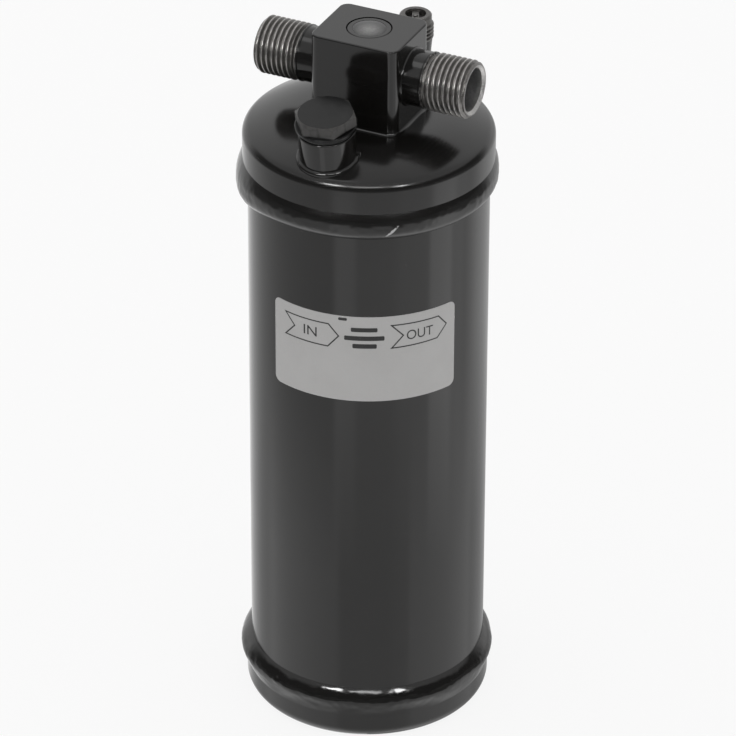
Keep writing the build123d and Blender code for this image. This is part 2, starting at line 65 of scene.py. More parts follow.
# A millimetre in metres. All other sizes are in millimetres: the distance at which doubled vertices merge,
# a hair's breadth, and how far the CAD pieces reach to every side
MM = 0.001
MERGE = 0.002
HAIR = 0.02
BOX_REACH = min(*CAD_BOX[1][:2], *(-low for low in CAD_BOX[0][:2])) / MM - HAIR

# Stretches round a drilled hole
DRILL_STEPS = 96

Point = tuple[float, float]
Piece = bpy.types.Object


class Way(Enum):
    """The side of the head block that a fitting stands on."""

    INLET = -1
    OUTLET = 1


class Axis(Enum):
    """The frame's direction that a threaded piece lies along."""

    ACROSS = (1, 0, 0)
    UP = (0, 0, 1)


# Places of the CAD pieces, in millimetres


def corners(node: str) -> tuple[Vector, Vector]:
    """Lowest and highest corner of a CAD node, in millimetres."""
    low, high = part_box(node)
    return Vector(low) / MM, Vector(high) / MM


# Modelling by hand: each function leaves the object in object mode


def deselect() -> None:
    """Leaves nothing selected."""
    bpy.ops.object.select_all(action="DESELECT")


def take_up(obj: Piece) -> None:
    """Selects one object and nothing else.

    Args:
        obj: The object.
    """
    deselect()
    obj.select_set(True)
    bpy.context.view_layer.objects.active = obj


def started(name: str) -> Piece:
    """Names the primitive that was just added.

    Args:
        name: Name of the object and of its mesh.

    Returns:
        The new object.
    """
    obj = bpy.context.object
    obj.name = name
    obj.data.name = name
    return obj


def edit(obj: Piece) -> None:
    """Opens an object in edit mode with everything selected.

    Args:
        obj: The object to open.
    """
    take_up(obj)
    bpy.ops.object.mode_set(mode="EDIT")
    bpy.ops.mesh.select_mode(type="VERT")
    bpy.ops.mesh.select_all(action="SELECT")


def leave() -> None:
    """Closes edit mode."""
    bpy.ops.object.mode_set(mode="OBJECT")


def mark_edges(obj: Piece, wanted: Callable[[Vector, Vector], bool]) -> None:
    """Selects the edges whose two ends pass a test, in edit mode.

    Args:
        obj: The object that is open in edit mode.
        wanted: Test of an edge's two ends, in millimetres.
    """
    bpy.ops.mesh.select_mode(type="EDGE")
    bpy.ops.mesh.select_all(action="DESELECT")
    mesh = bmesh.from_edit_mesh(obj.data)
    for edge in mesh.edges:
        first, second = (v.co / MM for v in edge.verts)
        edge.select_set(wanted(first, second))
    bmesh.update_edit_mesh(obj.data)


def tidy_faces(obj: Piece) -> None:
    """Merges doubled vertices and turns all faces outwards.

    Args:
        obj: The object to tidy.
    """
    edit(obj)
    bpy.ops.mesh.remove_doubles(threshold=MERGE * MM)
    bpy.ops.mesh.normals_make_consistent(inside=False)
    leave()


def smooth(obj: Piece, angle: float = 35.0) -> None:
    """Shades an object smooth up to an angle in degrees."""
    take_up(obj)
    bpy.ops.object.shade_smooth_by_angle(angle=math.radians(angle))


def settle(obj: Piece) -> None:
    """Moves an object's place, turn and scale into its mesh."""
    take_up(obj)
    bpy.ops.object.transform_apply(location=True, rotation=True, scale=True)


def place(obj: Piece, at: Sequence[float] = (0, 0, 0), turn: Sequence[float] = (0, 0, 0)) -> None:
    """Turns an object and then moves it, in its mesh.

    Args:
        obj: The object to place.
        at: Where its origin goes, in millimetres.
        turn: Its turns about X, Y and Z in degrees.
    """
    obj.rotation_euler = [math.radians(angle) for angle in turn]
    obj.location = Vector(at) * MM
    settle(obj)


def reshape(obj: Piece, change: Callable[[Vector], Vector]) -> None:
    """Moves each vertex of a mesh.

    Args:
        obj: The object to change.
        change: Gives a vertex's new place for its old one, both in millimetres.
    """
    for vertex in obj.data.vertices:
        vertex.co = change(vertex.co / MM) * MM
    obj.data.update()


def apply_modifier(obj: Piece, kind: str, **settings: object) -> None:
    """Adds a modifier and applies it.

    Args:
        obj: The object to change.
        kind: The modifier's type.
        **settings: Values of the modifier's own properties.
    """
    take_up(obj)
    modifier = obj.modifiers.new(kind.title(), kind)
    for key, value in settings.items():
        setattr(modifier, key, value)
    bpy.ops.object.modifier_apply(modifier=modifier.name)


def combine(obj: Piece, tool: Piece, operation: str) -> None:
    """Cuts, joins or intersects an object with another one, which is used up."""
    apply_modifier(obj, "BOOLEAN", operation=operation, object=tool, solver="EXACT")
    bpy.data.objects.remove(tool, do_unlink=True)


def drill(obj: Piece, at: Sequence[float], radius: float, length: float, turn: float = 0.0) -> None:
    """Cuts a round hole.

    Args:
        obj: The object to drill.
        at: Middle of the hole, in millimetres.
        radius: Radius of the hole.
        length: Length of the hole.
        turn: Turn of its axis about Y in degrees, from upright.
    """
    deselect()
    bpy.ops.mesh.primitive_cylinder_add(
        vertices=DRILL_STEPS,
        radius=radius * MM,
        depth=length * MM,
        location=Vector(at) * MM,
        rotation=(0, math.radians(turn), 0),
    )
    combine(obj, started("drill"), "DIFFERENCE")


def weld_together(name: str, parts: Sequence[Piece]) -> Piece:
    """Joins objects into one mesh.

    Args:
        name: Name of the joined object.
        parts: The objects, which are used up.

    Returns:
        The joined object.
    """
    deselect()
    for part in parts:
        part.select_set(True)
    bpy.context.view_layer.objects.active = parts[0]
    bpy.ops.object.join()
    return started(name)


# Half sections


def arc(centre: Point, radius: float, start: float, end: float, steps: int) -> list[Point]:
    """Points along an arc.

    Args:
        centre: Middle of the arc.
        radius: Its radius.
        start: Angle of the first point in degrees, from the outward direction towards up.
        end: Angle of the last point.
        steps: Number of stretches.

    Returns:
        The points, both ends included.
    """
    angles = (math.radians(start + (end - start) * i / steps) for i in range(steps + 1))
    return [(centre[0] + radius * math.cos(a), centre[1] + radius * math.sin(a)) for a in angles]


def rounded(path: Sequence[Sequence[float]], steps: int = 5, hold: float = 0.06) -> list[Point]:
    """Rounds the corners of an open path.

    Args:
        path: Corners as (radius, height) or (radius, height, rounding).
        steps: Stretches in each rounded corner.
        hold: Distance of the extra points that keep the flats beside a corner flat.

    Returns:
        The points of the rounded path.
    """
    points: list[Point] = []
    for i, corner in enumerate(path):
        at = Vector(corner[:2])
        if len(corner) < 3 or i in (0, len(path) - 1):
            points.append(tuple(at))
            continue
        back = (Vector(path[i - 1][:2]) - at).normalized()
        ahead = (Vector(path[i + 1][:2]) - at).normalized()
        half = back.angle(ahead) / 2
        run = corner[2] / math.tan(half)
        centre = at + (back + ahead).normalized() * corner[2] / math.sin(half)
        first = at + back * run - centre
        sweep = first.angle_signed(at + ahead * run - centre)
        points.append(tuple(at + back * (run + hold)))
        for k in range(steps + 1):
            points.append(tuple(centre + Matrix.Rotation(-sweep * k / steps, 2) @ first))
        points.append(tuple(at + ahead * (run + hold)))
    return points


def turned(name: str, section: Sequence[Point], steps: int = 192, angle: float = 35.0) -> Piece:
    """Turns a half section about the upright axis.

    Args:
        name: Name of the piece.
        section: (radius, height) points. It ends where it began, or both ends are on the axis.
        steps: Stretches round the axis.
        angle: Angle up to which edges are shaded smooth.

    Returns:
        The new piece.
    """
    deselect()
    bpy.ops.mesh.primitive_circle_add(vertices=3, radius=MM, fill_type="NOTHING")
    obj = started(name)
    edit(obj)
    bpy.ops.mesh.merge(type="CENTER")
    bpy.ops.transform.translate(value=(section[0][0] * MM, 0, section[0][1] * MM))
    for before, after in zip(section, section[1:]):
        step = ((after[0] - before[0]) * MM, 0, (after[1] - before[1]) * MM)
        bpy.ops.mesh.extrude_region_move(TRANSFORM_OT_translate={"value": step})
    bpy.ops.mesh.select_all(action="SELECT")
    bpy.ops.mesh.spin(steps=steps, angle=math.tau, center=(0, 0, 0), axis=(0, 0, 1))
    leave()
    tidy_faces(obj)
    smooth(obj, angle)
    return obj


def ripple(at: Vector, size: float, seed: float = 0.0) -> float:
    """Smooth random value from -1 to 1 at a place, with bumps of about the given size."""
    return noise.noise(at / size + Vector((seed, 2 * seed, -seed)))


# Finishes


class Graph:
    """Writes nodes into a shader tree."""

    def __init__(self, tree: bpy.types.NodeTree) -> None:
        """Takes the tree."""
        self.tree = tree
        self.nodes = tree.nodes

    def put(self, kind: str, inputs: dict[str | int, object], **settings: object) -> bpy.types.Node:
        """Adds a node.

        Args:
            kind: The node's type, without its ShaderNode prefix.
            inputs: Values or output sockets for its inputs.
            **settings: Values of its own properties.

        Returns:
            The new node.
        """
        node = self.nodes.new("ShaderNode" + kind)
        for key, value in settings.items():
            setattr(node, key, value)
        for key, value in inputs.items():
            if isinstance(value, bpy.types.NodeSocket):
                self.tree.links.new(value, node.inputs[key])
            else:
                node.inputs[key].default_value = value
        return node

    def span(
        self, value: bpy.types.NodeSocket, low: float, high: float, first: float, last: float
    ) -> bpy.types.NodeSocket:
        """Maps a range of a value to another range, held at its ends."""
        inputs = {0: value, 1: low, 2: high, 3: first, 4: last}
        return self.put("MapRange", inputs, clamp=True).outputs["Result"]

    def sum(self, operation: str, first: object, second: object) -> bpy.types.NodeSocket:
        """Combines two numbers."""
        return self.put("Math", {0: first, 1: second}, operation=operation).outputs[0]

    def window(
        self, value: bpy.types.NodeSocket, low: float, high: float, soft: float
    ) -> bpy.types.NodeSocket:
        """1 between two values and 0 beyond them, with soft edges of a width."""
        rise = self.span(value, low - soft / 2, low + soft / 2, 0.0, 1.0)
        return self.sum("MULTIPLY", rise, self.span(value, high - soft / 2, high + soft / 2, 1.0, 0.0))

    def ramp(
        self, value: bpy.types.NodeSocket, stops: Sequence[Point], low: float, high: float
    ) -> bpy.types.NodeSocket:
        """Looks a value up in a table.

        Args:
            value: The number to look up.
            stops: Pairs of a value and its result, which is 2 at most.
            low: Value at the table's start.
            high: Value at its end.

        Returns:
            The result.
        """
        node = self.put("ValToRGB", {0: self.span(value, low, high, 0.0, 1.0)})
        elements = node.color_ramp.elements
        while len(elements) > 1:
            elements.remove(elements[0])
        elements[0].position = (stops[0][0] - low) / (high - low)
        for at, _ in stops[1:]:
            elements.new((at - low) / (high - low))
        for element, (_, result) in zip(elements, stops):
            element.color = grey(result / 2)
        return self.sum("MULTIPLY", node.outputs["Color"], 2.0)


class Surface(Graph):
    """Writes the nodes of one material."""

    def __init__(self, name: str) -> None:
        """Starts a material with a single Principled shader.

        Args:
            name: Name of the material.
        """
        self.material = bpy.data.materials.new(name)
        self.material.use_nodes = True
        super().__init__(self.material.node_tree)
        self.shader = self.nodes["Principled BSDF"]
        self.here = self.nodes.new("ShaderNodeTexCoord").outputs["Object"]

    def drive(self, socket: str, value: bpy.types.NodeSocket) -> None:
        """Links an output to one of the shader's inputs."""
        self.tree.links.new(value, self.shader.inputs[socket])

    def fix(self, **values: object) -> None:
        """Sets the shader's own sockets, named with underscores for spaces."""
        for key, value in values.items():
            self.shader.inputs[key.replace("_", " ")].default_value = value

    def cloud(self, size: float, detail: float = 2.0, roughness: float = 0.5) -> bpy.types.NodeSocket:
        """Noise with bumps of a size in millimetres."""
        inputs = {"Vector": self.here, "Scale": 1 / (size * MM), "Detail": detail, "Roughness": roughness}
        return self.put("TexNoise", inputs).outputs["Fac"]

    def specks(self, spacing: float, share: float) -> bpy.types.NodeSocket:
        """Small round specks: 1 inside one, 0 outside.

        Args:
            spacing: Distance between specks in millimetres.
            share: Speck radius as a share of the spacing.

        Returns:
            The mask.
        """
        cells = self.put("TexVoronoi", {"Vector": self.here, "Scale": 1 / (spacing * MM)})
        return self.span(cells.outputs["Distance"], share, share * 0.6, 0.0, 1.0)

    def blend(self, mask: bpy.types.NodeSocket, first: object, second: object) -> bpy.types.NodeSocket:
        """Mixes two colours.

        Args:
            mask: 0 for the first colour and 1 for the second.
            first: A colour or a socket that gives one.
            second: Another colour or socket.

        Returns:
            The mixed colour.
        """
        node = self.put("Mix", {0: mask}, data_type="RGBA")
        for index, value in ((6, first), (7, second)):
            if isinstance(value, bpy.types.NodeSocket):
                self.tree.links.new(value, node.inputs[index])
            else:
                node.inputs[index].default_value = value
        return node.outputs[2]

    def raise_by(self, height: bpy.types.NodeSocket, microns: float) -> None:
        """Bumps the surface, over any bump that is there already.

        Args:
            height: The bump's height map, from 0 to 1.
            microns: Height of the bump where the map is 1.
        """
        inputs: dict[str | int, object] = {"Height": height, "Distance": microns * MM * MM, "Strength": 1.0}
        link = self.shader.inputs["Normal"].links
        if link:
            inputs["Normal"] = link[0].from_socket
        self.drive("Normal", self.put("Bump", inputs).outputs["Normal"])

    def radius(self, centre: Sequence[float], along: Vector) -> bpy.types.NodeSocket:
        """Distance from an axis, in metres.

        Args:
            centre: A point on the axis, in millimetres.
            along: Its direction, one of the frame's three.

        Returns:
            The distance.
        """
        flat = Vector((1, 1, 1)) - along
        shift = [-c * MM * f for c, f in zip(centre, flat)]
        moved = self.put("Mapping", {"Vector": self.here, "Location": shift, "Scale": flat})
        return self.put("VectorMath", {0: moved.outputs["Vector"]}, operation="LENGTH").outputs["Value"]

    def axis(self, name: str) -> bpy.types.NodeSocket:
        """One coordinate of the surface, in metres."""
        return self.put("SeparateXYZ", {0: self.here}).outputs[name]


def grey(value: float, warmth: float = 0.0) -> tuple[float, float, float, float]:
    """A grey, with a little more red and less blue by its warmth."""
    return (value * (1 + warmth), value, value * (1 - warmth), 1.0)


@dataclass(frozen=True)
class GlossPaint:
    """Black gloss paint sprayed over steel."""

    name: str = "black_gloss_paint"
    slot: str = "black_paint"
    colour: float = 0.0075
    warmth: float = 0.06
    roughness: float = 0.1
    index: float = 1.48
    uneven: float = 0.05
    peel: float = 5.0
    peel_size: float = 2.6
    sag: float = 18.0
    sag_size: float = 14.0
    dust_spacing: float = 7.0
    dust_share: float = 0.02
    dust_height: float = 6.0
    tone_size: float = 9.0
    haze_size: float = 21.0
    # Painted highlight: a light grey streak laid into the colour, standing in for a glint of light on the
    # weld
    painted_glint: tuple[float, float, float, float, float] | None = None
    painted_glint_grey: float = 0.5
    painted_glint_slant: float = 45.0

    def painted_glint_mask(self, surface: Surface) -> bpy.types.NodeSocket:
        """Finds the painted glint, a light streak standing in for a highlight, with an azimuth, a radius, a
        height, a half length and a half width.

        Args:
            surface: The surface that is being painted.

        Returns:
            1 on the painted glint and 0 beside it.
        """
        azimuth, radius, height, half_length, half_width = self.painted_glint
        turn = math.radians(azimuth)
        inputs = {
            "Vector": surface.here,
            "Location": (radius * math.sin(turn) * MM, -radius * math.cos(turn) * MM, height * MM),
            "Rotation": (0, -math.radians(self.painted_glint_slant), turn),
            "Scale": (half_length * MM, radius * MM / 10, half_width * MM),
        }
        near = surface.put("Mapping", inputs, vector_type="TEXTURE").outputs["Vector"]
        away = surface.put("VectorMath", {0: near}, operation="LENGTH").outputs["Value"]
        ragged = surface.sum("ADD", away, surface.span(surface.cloud(0.7, 3.0), 0.3, 0.7, -0.5, 0.5))
        return surface.span(ragged, 0.8, 1.0, 1.0, 0.0)

    def shade(self, factor: float) -> tuple[float, float, float, float]:
        """The paint's colour, made lighter or darker by a factor."""
        return grey(self.colour * factor, self.warmth)

    def paint(self, surface: Surface) -> None:
        """Lays the paint on a surface's shader.

        Args:
            surface: The surface to paint.
        """
        dust = surface.specks(self.dust_spacing, self.dust_share)
        coat = surface.blend(surface.cloud(self.tone_size, 3.0), self.shade(0.8), self.shade(1.25))
        coat = surface.blend(dust, coat, self.shade(14.0))
        # Painted highlight: the glint's light grey goes into the base colour
        if self.painted_glint:
            coat = surface.blend(self.painted_glint_mask(surface), coat, grey(self.painted_glint_grey))
        surface.drive("Base Color", coat)
        haze = surface.cloud(self.haze_size, 4.0)
        dullest = self.roughness + self.uneven
        surface.drive("Roughness", surface.span(haze, 0.35, 0.7, self.roughness, dullest))
        surface.fix(IOR=self.index, Metallic=0.0)
        surface.raise_by(surface.cloud(self.peel_size, 1.0), self.peel)
        surface.raise_by(surface.cloud(self.sag_size, 0.0), self.sag)
        surface.raise_by(dust, self.dust_height)

    def material(self) -> bpy.types.Material:
        """Makes the material.

        Returns:
            The finished material.
        """
        surface = Surface(self.name)
        self.paint(surface)
        return surface.material


@dataclass(frozen=True)
class PaintedThread:
    """Gloss paint that ends at a bare machined thread, with a painted highlight on its crests and painted
    light and shade in its bore.
    """

    name: str
    slot: str
    paint: GlossPaint
    centre: tuple[float, float, float]
    along: Axis
    bare_from: float
    bare_to: float
    crest: float
    inside: float = 0.0
    # Painted highlight: the outermost band of each crest, this deep, is painted lighter than the flanks and
    # roots, up to the grey below
    crest_highlight_band: float = 0.22
    metal_low: float = 0.2
    crest_highlight_grey: float = 0.4
    # Painted light and shade in the bore: a light grey near the lip and a darker grey deeper in, where
    # shade falls
    bore_lip_light_grey: float = 0.5
    bore_shade_grey: float = 0.3
    metallic: float = 0.75
    metal_roughness: tuple[float, float] = (0.3, 0.48)
    dirt: float = 0.02
    # Where the painted shade in the bore begins along the axis, and the run over which it darkens
    bore_shade_from: float = 0.0
    bore_shade_run: float = 1.5
    wander: float = 0.2
    edge: float = 0.1

    def material(self) -> bpy.types.Material:
        """Makes the material.

        Returns:
            The finished material.
        """
        surface = Surface(self.name)
        self.paint.paint(surface)
        coordinate = surface.axis("Z" if self.along is Axis.UP else "X")
        if self.along is Axis.ACROSS:
            coordinate = surface.sum("ABSOLUTE", coordinate, 0.0)
        wander = self.wander * MM
        there = surface.span(surface.cloud(1.5, 2.0), 0.3, 0.7, -wander, wander)
        there = surface.sum("ADD", coordinate, there)
        bare = surface.window(there, self.bare_from * MM, self.bare_to * MM, 2 * self.edge * MM)
        radius = surface.radius(self.centre, Vector(self.along.value))
        # Painted highlight: 0 on the flanks and roots, 1 on the crests, which are painted lighter to stand
        # in for the light they catch
        height = surface.span(radius, (self.crest - self.crest_highlight_band) * MM, self.crest * MM, 0.0, 1.0)
        throat = surface.span(radius, self.inside * MM, (self.inside + 2 * self.edge) * MM, 1.0, 0.0)
        dirt = surface.span(surface.cloud(0.9, 4.0), 0.3, 0.75, 0.75, 1.1)
        steel = surface.blend(height, grey(self.metal_low, 0.04), grey(self.crest_highlight_grey, 0.03))
        # Painted light and shade in the bore: light at the lip, darker deeper in, where shade falls
        bore_shade_deepest = self.bore_shade_from - self.bore_shade_run
        mouth = surface.span(coordinate, bore_shade_deepest * MM, self.bore_shade_from * MM, 0.0, 1.0)
        bore_light_and_shade = surface.blend(mouth, grey(self.bore_shade_grey), grey(self.bore_lip_light_grey, 0.02))
        steel = surface.blend(throat, steel, bore_light_and_shade)
        steel = surface.blend(dirt, grey(self.dirt), steel)
        paint_colour = surface.shader.inputs["Base Color"].links[0].from_socket
        surface.drive("Base Color", surface.blend(bare, paint_colour, steel))
        surface.drive("Metallic", surface.sum("MULTIPLY", bare, self.metallic))
        rough = surface.span(surface.cloud(0.6, 3.0), 0.3, 0.7, *self.metal_roughness)
        paint_rough = surface.shader.inputs["Roughness"].links[0].from_socket
        mixed = surface.put("Mix", {0: bare, 2: paint_rough, 3: rough}, data_type="FLOAT")
        surface.drive("Roughness", mixed.outputs[0])
        return surface.material


@dataclass(frozen=True)
class PlainMetal:
    """Machined or drawn metal with fine marks."""

    name: str
    slot: str
    colour: tuple[float, float, float]
    roughness: float = 0.3
    grain: float = 0.4

    def material(self) -> bpy.types.Material:
        """Makes the material.

        Returns:
            The finished material.
        """
        surface = Surface(self.name)
        tone = surface.cloud(self.grain * 6, 3.0)
        dark = tuple(c * 0.78 for c in self.colour) + (1.0,)
        surface.drive("Base Color", surface.blend(tone, dark, self.colour + (1.0,)))
        dullest = self.roughness + 0.15
        rough = surface.span(surface.cloud(self.grain, 4.0), 0.3, 0.7, self.roughness, dullest)
        surface.drive("Roughness", rough)
        surface.fix(Metallic=1.0)
        surface.raise_by(surface.cloud(self.grain, 3.0), 2.0)
        return surface.material


@dataclass(frozen=True)
class SoftStuff:
    """Rubber, felt or beads: no metal, one tone with a grain; beads are painted darker towards their edges
    as painted shade.
    """

    name: str
    slot: str
    colour: tuple[float, float, float]
    roughness: float
    grain: float
    relief: float
    beads: bool = False

    def material(self) -> bpy.types.Material:
        """Makes the material.

        Returns:
            The finished material.
        """
        surface = Surface(self.name)
        if self.beads:
            # Painted shade: each bead is painted light in its middle and darker towards its edge, where the
            # gaps between beads fall into shade
            cells = surface.put("TexVoronoi", {"Vector": surface.here, "Scale": 1 / (self.grain * MM)})
            height = surface.span(cells.outputs["Distance"], 0.0, 0.75, 1.0, 0.0)
        else:
            height = surface.cloud(self.grain, 5.0, 0.65)
        dark = tuple(c * 0.6 for c in self.colour) + (1.0,)
        surface.drive("Base Color", surface.blend(height, dark, self.colour + (1.0,)))
        surface.drive("Roughness", surface.span(height, 0.2, 0.8, self.roughness, self.roughness - 0.12))
        surface.fix(IOR=1.5)
        surface.raise_by(height, self.relief)
        return surface.material


@dataclass(frozen=True)
class LabelStock:
    """Light grey printed sheet, satin."""

    name: str = "label_stock"
    slot: str = "label_sheet"
    colour: float = 0.51
    roughness: float = 0.45

    def material(self) -> bpy.types.Material:
        """Makes the material.

        Returns:
            The finished material.
        """
        surface = Surface(self.name)
        fibre = surface.cloud(0.5, 4.0)
        scuff = surface.span(surface.cloud(13.0, 3.0), 0.45, 0.75, 0.0, 0.35)
        stock = surface.blend(fibre, grey(self.colour * 0.96, 0.01), grey(self.colour * 1.03, 0.01))
        surface.drive("Base Color", surface.blend(scuff, stock, grey(self.colour * 0.88, 0.015)))
        ends = self.roughness - 0.05, self.roughness + 0.07
        rough = surface.span(surface.cloud(4.0, 3.0), 0.3, 0.7, *ends)
        surface.drive("Roughness", rough)
        surface.fix(IOR=1.45)
        surface.raise_by(fibre, 1.2)
        return surface.material


@dataclass(frozen=True)
class Ink:
    """Printed ink, slightly worn."""

    name: str
    slot: str = "label_sheet"
    colour: float = 0.012
    roughness: float = 0.35

    def material(self) -> bpy.types.Material:
        """Makes the material.

        Returns:
            The finished material.
        """
        surface = Surface(self.name)
        worn = surface.span(surface.cloud(0.8, 4.0), 0.55, 0.8, 0.0, 0.5)
        surface.drive("Base Color", surface.blend(worn, grey(self.colour), grey(self.colour * 5)))
        surface.drive("Roughness", surface.span(worn, 0.0, 0.5, self.roughness, self.roughness + 0.2))
        surface.fix(IOR=1.5)
        return surface.material


@dataclass(frozen=True)
class HazyGlass:
    """Thick glass with a film of haze, painted palest in front of its middle as a painted sheen of the
    light.
    """

    name: str = "hazy_glass"
    slot: str = "glass"
    roughness: float = 0.3
    clear: float = 0.2
    # Where the painted sheen is palest, and the radii at which it is full and gone
    painted_sheen_at: tuple[float, float, float] = (0.8, -1.7, 0.0)
    painted_sheen_radius: float = 0.8
    painted_sheen_fade_radius: float = 4.8
    pale: float = 0.3
    dark: float = 0.03

    def material(self) -> bpy.types.Material:
        """Makes the material.

        Returns:
            The finished material.
        """
        surface = Surface(self.name)
        # Painted highlight: the haze is painted palest round a spot in front of the middle and fades to
        # dark, standing in for the light on the crowned glass
        away = surface.radius(self.painted_sheen_at, Vector((0, 0, 1)))
        haze_and_painted_sheen = surface.span(away, self.painted_sheen_radius * MM, self.painted_sheen_fade_radius * MM, 1.0, 0.0)
        spots = surface.span(surface.cloud(0.8, 4.0), 0.3, 0.7, 0.7, 1.15)
        haze_and_painted_sheen = surface.sum("MULTIPLY", haze_and_painted_sheen, spots)
        surface.drive("Base Color", surface.blend(haze_and_painted_sheen, grey(self.dark), grey(self.pale, 0.01)))
        surface.drive("Roughness", surface.span(haze_and_painted_sheen, 0.0, 1.0, self.roughness, self.roughness + 0.15))
        surface.fix(IOR=1.5, Transmission_Weight=self.clear)
        surface.raise_by(surface.cloud(1.8, 1.0), 1.5)
        return surface.material


@dataclass(frozen=True)
class PlugPaint:
    """Satin paint on the plug, with the flats that a spanner holds painted lighter grey: painted light for
    their sheen.
    """

    name: str = "satin_paint_painted_light_flats"
    slot: str = "black_paint"
    foot: tuple[float, float, float] = (0.0, -28.9, 209.651)
    lean: float = 8.0
    inner: float = 8.46
    from_height: float = 12.0
    # The painted light on the flats: the softness of its edge, how far up it fades in, and its grey
    flat_light_edge: float = 0.06
    flat_light_run: float = 0.4
    satin: float = 0.003
    lit_flat_grey: float = 0.058
    index: float = 1.33
    roughness: tuple[float, float] = (0.2, 0.27)

    def material(self) -> bpy.types.Material:
        """Makes the material.

        Returns:
            The finished material.
        """
        surface = Surface(self.name)
        inputs = {
            "Vector": surface.here,
            "Location": Vector(self.foot) * MM,
            "Rotation": (math.radians(self.lean), 0, 0),
        }
        local = surface.put("Mapping", inputs, vector_type="TEXTURE").outputs["Vector"]
        flat = surface.put("VectorMath", {0: local, 1: (1, 1, 0)}, operation="MULTIPLY").outputs["Vector"]
        radius = surface.put("VectorMath", {0: flat}, operation="LENGTH").outputs["Value"]
        height = surface.put("SeparateXYZ", {0: local}).outputs["Z"]
        # Painted light: the flats above the flange are painted lighter grey as their sheen; the mask named
        # worn here is that painted light
        outer = surface.span(radius, self.inner * MM, (self.inner + self.flat_light_edge) * MM, 0.0, 1.0)
        full = self.from_height + self.flat_light_run
        above = surface.span(height, self.from_height * MM, full * MM, 0.0, 1.0)
        patchy = surface.span(surface.cloud(1.6, 4.0), 0.3, 0.7, 0.7, 1.3)
        worn = surface.sum("MULTIPLY", surface.sum("MULTIPLY", outer, above), patchy)
        surface.drive("Base Color", surface.blend(worn, grey(self.satin), grey(self.lit_flat_grey, 0.03)))
        surface.drive("Roughness", surface.span(surface.cloud(2.5, 3.0), 0.3, 0.7, *self.roughness))
        surface.fix(IOR=self.index)
        surface.raise_by(surface.cloud(1.1, 3.0), 4.0)
        return surface.material


BLACK = GlossPaint()
BEAD_PAINT = GlossPaint(
    name="black_paint_on_weld",
    peel=9.0,
    peel_size=1.6,
    sag=40.0,
    sag_size=6.0,
    roughness=0.09,
)
LID_PAINT = GlossPaint(name="black_paint_on_lid", roughness=0.15, uneven=0.05)
TOP_BEAD_PAINT = GlossPaint(
    name="black_paint_on_top_weld",
    peel=9.0,
    peel_size=1.6,
    sag=40.0,
    sag_size=6.0,
    roughness=0.16,
    # The painted highlight on the top weld, right of the front
    painted_glint=(36.0, 40.6, 190.4, 2.6, 0.4),
)
PLUG_PAINT = PlugPaint()
DULL = PlainMetal("dull_steel", "steel", (0.2, 0.195, 0.19), 0.45)
BRASS = PlainMetal("brass", "brass", (0.62, 0.43, 0.17), 0.26)
STEEL = PlainMetal("steel", "steel", (0.46, 0.45, 0.43), 0.34)
SPRING = PlainMetal("spring_steel", "spring_steel", (0.38, 0.37, 0.36), 0.25)
RUBBER = SoftStuff("rubber", "rubber", (0.018, 0.017, 0.016), 0.62, 0.5, 8.0)
FELT = SoftStuff("felt", "felt", (0.52, 0.49, 0.42), 0.95, 0.35, 120.0)
BEADS = SoftStuff("desiccant_beads", "desiccant", (0.62, 0.56, 0.47), 0.8, 2.4, 900.0, beads=True)
PRINT = Ink("black_ink")


def dress(obj: Piece, finish: object) -> None:
    """Gives a piece its look.

    Args:
        obj: The piece.
        finish: Its finish.
    """
    obj.data.materials.clear()
    obj.data.materials.append(material_of(finish))


def material_of(finish: object) -> bpy.types.Material:
    """The material of a finish, made once."""
    return bpy.data.materials.get(finish.name) or finish.material()


def hand_over(obj: Piece, finish: object, *nodes: str) -> Piece:
    """Dresses a finished piece and sets it on the canister.

    Args:
        obj: The piece.
        finish: Its finish.
        *nodes: The CAD nodes that it stands for.

    Returns:
        The piece.
    """
    dress(obj, finish)
    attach(obj, CANISTER)
    if nodes:
        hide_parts(*nodes)
    LOG.info("%s: %d faces, %s", obj.name, len(obj.data.polygons), finish.name)
    return obj


# Sub-assemblies, with sizes in millimetres


